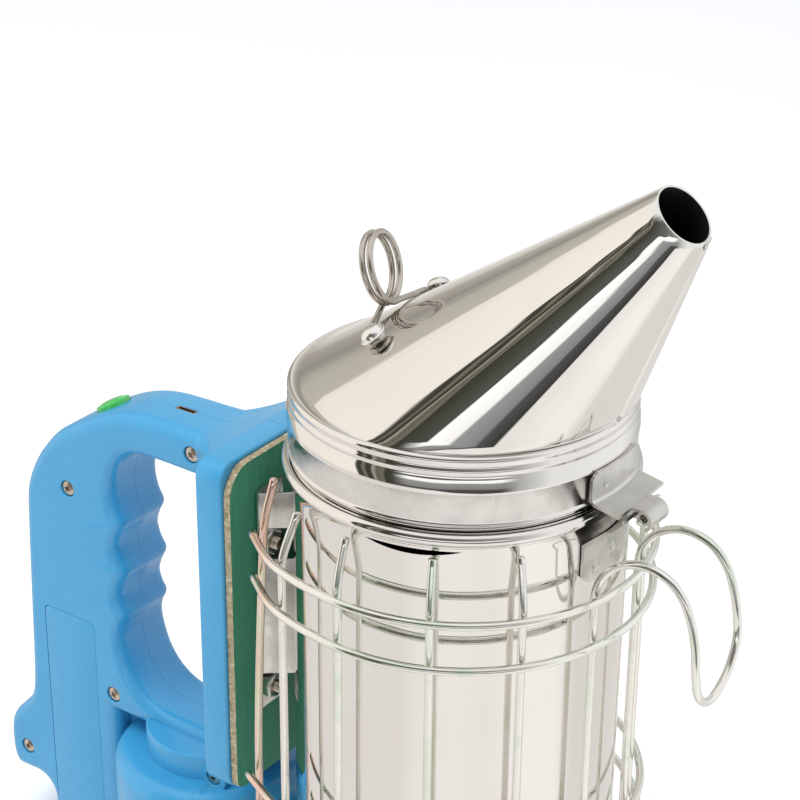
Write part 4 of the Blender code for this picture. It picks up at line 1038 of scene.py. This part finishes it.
def build_controls(mats):
    c, n = button_line()
    dome = [(0, -6.2), (2.0, -6.2), (2.0, -4.0), (BUTTON_R, -4.0)] + arc(BUTTON_R - 0.6, 0.5, 0.6, 0, 60, 4)
    dome += [(BUTTON_R * 0.8 * math.cos(a), 0.95 + 0.95 * math.sin(a))
             for a in (math.radians(12 + 78 * k / 8) for k in range(8))] + [(0, 1.9)]
    dress(raw_object("green_push_dome", turned(dome, c, n, 48)), mats["button"], "button", ("push_button",),
          45)
    x, z = USB
    shell = rounded_corners([(-3.75, -0.95), (3.75, -0.95), (3.75, 0.95), (-3.75, 0.95)], 0.4, 4)
    loops = []
    for s, s2, zz in ((1, 1, z - 6.0), (1, 1, z - 0.25), (0.98, 0.96, z - 0.15), (0.90, 0.74, z - 0.15),
                      (0.88, 0.70, z - 0.3), (0.88, 0.70, z - 4.8)):
        loops.append([(x + a * s, b * s2, zz) for a, b in shell])
    socket = raw_object("usb_shell", loft(loops))
    combine(socket, [("UNION", box(x - 2.4, x + 2.4, -0.2, 0.2, z - 5.0, z - 0.9))])
    dress(socket, (mats["copper"], mats["black"]), "smoker_body", ("usb_socket",), 40)
    for poly in socket.data.polygons:
        p = poly.center / MM
        if p.z < z - 0.32 and abs(p.x - x) < 3.4 and abs(p.y) < 1.0:
            poly.material_index = 1
    r = DRUM_R - 2.4 - GAP
    disc = [(0, 14.5)] + arc(r - 0.4, 14.9, 0.4, -90, 0, 3) + arc(r - 0.4, 16.6, 0.4, 0, 90, 3) + [(0, 17.0)]
    cover = raw_object("intake_cover", revolve(disc, 96, (DRUM_X, 0)))
    cuts = []
    for k in range(5):
        y = -16 + 8 * k
        half = math.sqrt(24 ** 2 - y * y)
        slot = rounded_corners([(DRUM_X - half, y - 2), (DRUM_X + half, y - 2), (DRUM_X + half, y + 2),
                                (DRUM_X - half, y + 2)], 1.9, 5)
        cuts.append(("DIFFERENCE", prism_xy(slot, 12, 19)))
    combine(cover, cuts)
    dress(cover, mats["blue"], "smoker_body", ("fan_cover",), 35, bevel=0.25)


# ---- camera, light, floor

def build_camera():
    t, e = math.radians(CAMERA_AZ), math.radians(CAMERA_EL)
    back = Vector((math.cos(t) * math.cos(e), -math.sin(t) * math.cos(e), math.sin(e)))
    right = (-back).cross(Vector((0, 0, 1))).normalized()
    up = right.cross(-back)
    roll = math.radians(CAMERA_ROLL)
    x = right * math.cos(roll) + up * math.sin(roll)
    y = up * math.cos(roll) - right * math.sin(roll)
    data = bpy.data.cameras.new("camera")
    data.lens, data.sensor_width = CAMERA_LENS, 36.0
    data.clip_start, data.clip_end = 0.02, 50.0
    cam = bpy.data.objects.new("camera", data)
    cam.matrix_world = Matrix.Translation(Vector(CAMERA_AT) * MM) @ Matrix((x, y, back)).transposed().to_4x4()
    bpy.context.scene.collection.objects.link(cam)
    bpy.context.scene.camera = cam


def place_on_ring(degrees):
    return (degrees + 180.0) / 360.0


def build_world():
    """White surroundings; reflections see a studio with a cream wall, a dark doorway and a strip light."""
    world = bpy.data.worlds.new("studio")
    bpy.context.scene.world = world
    world.use_nodes = True
    net = Net(world.node_tree)
    world.node_tree.nodes.clear()
    direction = net.add("ShaderNodeTexCoord").outputs["Generated"]
    split = net.add("ShaderNodeSeparateXYZ")
    net.put(split.inputs[0], direction)
    x, y, z = split.outputs
    az = net.math("MULTIPLY", net.math("ARCTAN2", y, x), 180 / math.pi)
    el = net.math("MULTIPLY", net.math("ARCSINE", z), 180 / math.pi)
    ring = net.map(az, -180.0, 180.0)
    walls = net.ramp(ring, [(place_on_ring(a), c) for a, c in (
        (-180, (1.04, 0.98, 0.90)), (-124.6, (1.08, 1.02, 0.94)), (-124.0, (0.09, 0.088, 0.07)),
        (-121, (0.045, 0.044, 0.034)), (-119, (0.30, 0.29, 0.22)), (-117.5, (0.05, 0.048, 0.036)),
        (-114, (0.06, 0.058, 0.045)), (-112.2, (0.52, 0.51, 0.42)), (-110.6, (0.13, 0.125, 0.095)),
        (-105.5, (0.20, 0.195, 0.15)), (-104, (0.05, 0.05, 0.04)),
        (-88, (0.10, 0.10, 0.085)), (-60, (0.16, 0.16, 0.15)), (-30, (0.35, 0.35, 0.34)),
        (0, (0.95, 0.95, 0.94)), (60, (1.0, 1.0, 0.99)), (95, (0.55, 0.55, 0.53)), (127, (0.87, 0.85, 0.81)),
        (136, (0.66, 0.63, 0.58)), (141, (0.45, 0.42, 0.37)), (149, (0.34, 0.32, 0.28)),
        (157, (0.55, 0.52, 0.46)),
        (172.5, (0.60, 0.57, 0.51)), (174, (1.0, 0.94, 0.86)))])
    strip = net.ramp(net.map(el, -30.0, 30.0), [((e + 30) / 60, (v, v, v, alpha)) for e, v, alpha in (
        (-27, 0.05, 1), (-19.5, 0.10, 1), (-18, 0.28, 1), (-5, 0.38, 1), (-3.0, 1.15, 1), (7.0, 1.3, 1),
        (8.1, 0.08, 1))])
    front = net.math("MULTIPLY", net.map(az, -100.0, -88.0, smooth=True),
                     net.map(az, -20.0, -34.0, smooth=True))
    low_enough = net.map(el, 9.8, 8.8, smooth=True)
    room = net.mix(net.math("MULTIPLY", front, low_enough), walls, strip)
    ceiling = net.map(el, 38.0, 60.0, smooth=True)
    room = net.mix(ceiling, room, (1.0, 0.99, 0.97))
    ground = net.ramp(ring, [(place_on_ring(a), c) for a, c in (
        (-180, (0.86, 0.82, 0.79)), (-97, (0.89, 0.85, 0.82)), (-84, (0.97, 0.94, 0.91)),
        (-59, (1.01, 0.98, 0.95)),
        (-34, (0.99, 0.95, 0.92)), (-9, (1.08, 1.05, 1.02)), (16, (1.08, 1.05, 1.02)),
        (32, (0.85, 0.82, 0.79)),
        (102, (0.80, 0.77, 0.74)), (150, (0.82, 0.78, 0.75)))])
    horizon = net.map(az, -72.0, -46.0, -22.5, -28.0)
    below = net.math("SUBTRACT", horizon, el)
    room = net.mix(net.map(below, -0.4, 1.0, smooth=True), room, ground)
    path = net.add("ShaderNodeLightPath")
    soft = net.mix(path.outputs["Is Glossy Ray"], (0.76, 0.78, 0.82), room)
    seen = net.mix(path.outputs["Is Camera Ray"], soft, (1.0, 1.0, 1.0))
    background = net.add("ShaderNodeBackground")
    net.put(background.inputs["Color"], seen)
    output = net.add("ShaderNodeOutputWorld")
    world.node_tree.links.new(background.outputs[0], output.inputs[0])


def build_light(name, at, towards, size, power):
    data = bpy.data.lights.new(name, "AREA")
    data.size, data.energy = size, power
    lamp = bpy.data.objects.new(name, data)
    lamp.location = at
    lamp.rotation_euler = (Vector(towards) - Vector(at)).to_track_quat("-Z", "Y").to_euler()
    lamp.visible_glossy = False
    bpy.context.scene.collection.objects.link(lamp)


def build_floor():
    bm = bmesh.new()
    bmesh.ops.create_grid(bm, x_segments=2, y_segments=2, size=6.0)
    mesh = bpy.data.meshes.new("floor")
    bm.to_mesh(mesh)
    bm.free()
    floor = bpy.data.objects.new("floor", mesh)
    floor.location.z = -0.0005
    bpy.context.scene.collection.objects.link(floor)
    mat, net, shader = new_material("pale_floor")
    where = net.coords()
    net.put(shader.inputs["Base Color"],
            net.mix(net.noise(where, 3.0), (0.86, 0.86, 0.86), (0.90, 0.90, 0.90)))
    shader.inputs["Roughness"].default_value = 0.9
    shader.inputs["Emission Color"].default_value = (1, 1, 1, 1)
    shader.inputs["Emission Strength"].default_value = 0.14
    floor.data.materials.append(mat)
    floor.visible_glossy = False


KEPT_NODES = {
    "air_inlet_tube": "satin", "fire_grate": "satin", "fan_motor": "satin", "battery_contact_top": "nickel",
    "battery_contact_bottom": "nickel", "circuit_board": "pcb", "tact_switch": "black",
              "fan_impeller": "black",
    "battery_cell": "wrap",
}


# name, place and aim in metres, size in metres, power in watts
LIGHTS = (("overhead", (-0.35, -0.45, 1.5), (-0.05, 0, 0.1), 0.9, 12.0),
          ("side", (1.1, -0.5, 0.8), (0, 0, 0.15), 0.9, 1.5))


def main():
    mats = make_materials()
    bpy.context.scene.view_settings.view_transform = "Standard"
    build_camera()
    build_world()
    build_floor()
    for light in LIGHTS:
        build_light(*light)
    build_pot(mats)
    build_band(mats)
    build_cone(mats)
    build_coil(mats)
    build_rivets(mats)
    build_guard(mats)
    build_hinge(mats)
    build_bracket(mats)
    build_board(mats)
    build_housing(mats)
    build_screws(mats)
    build_controls(mats)
    for name, key in KEPT_NODES.items():
        NODES[name].data.materials.clear()
        NODES[name].data.materials.append(mats[key])


main()
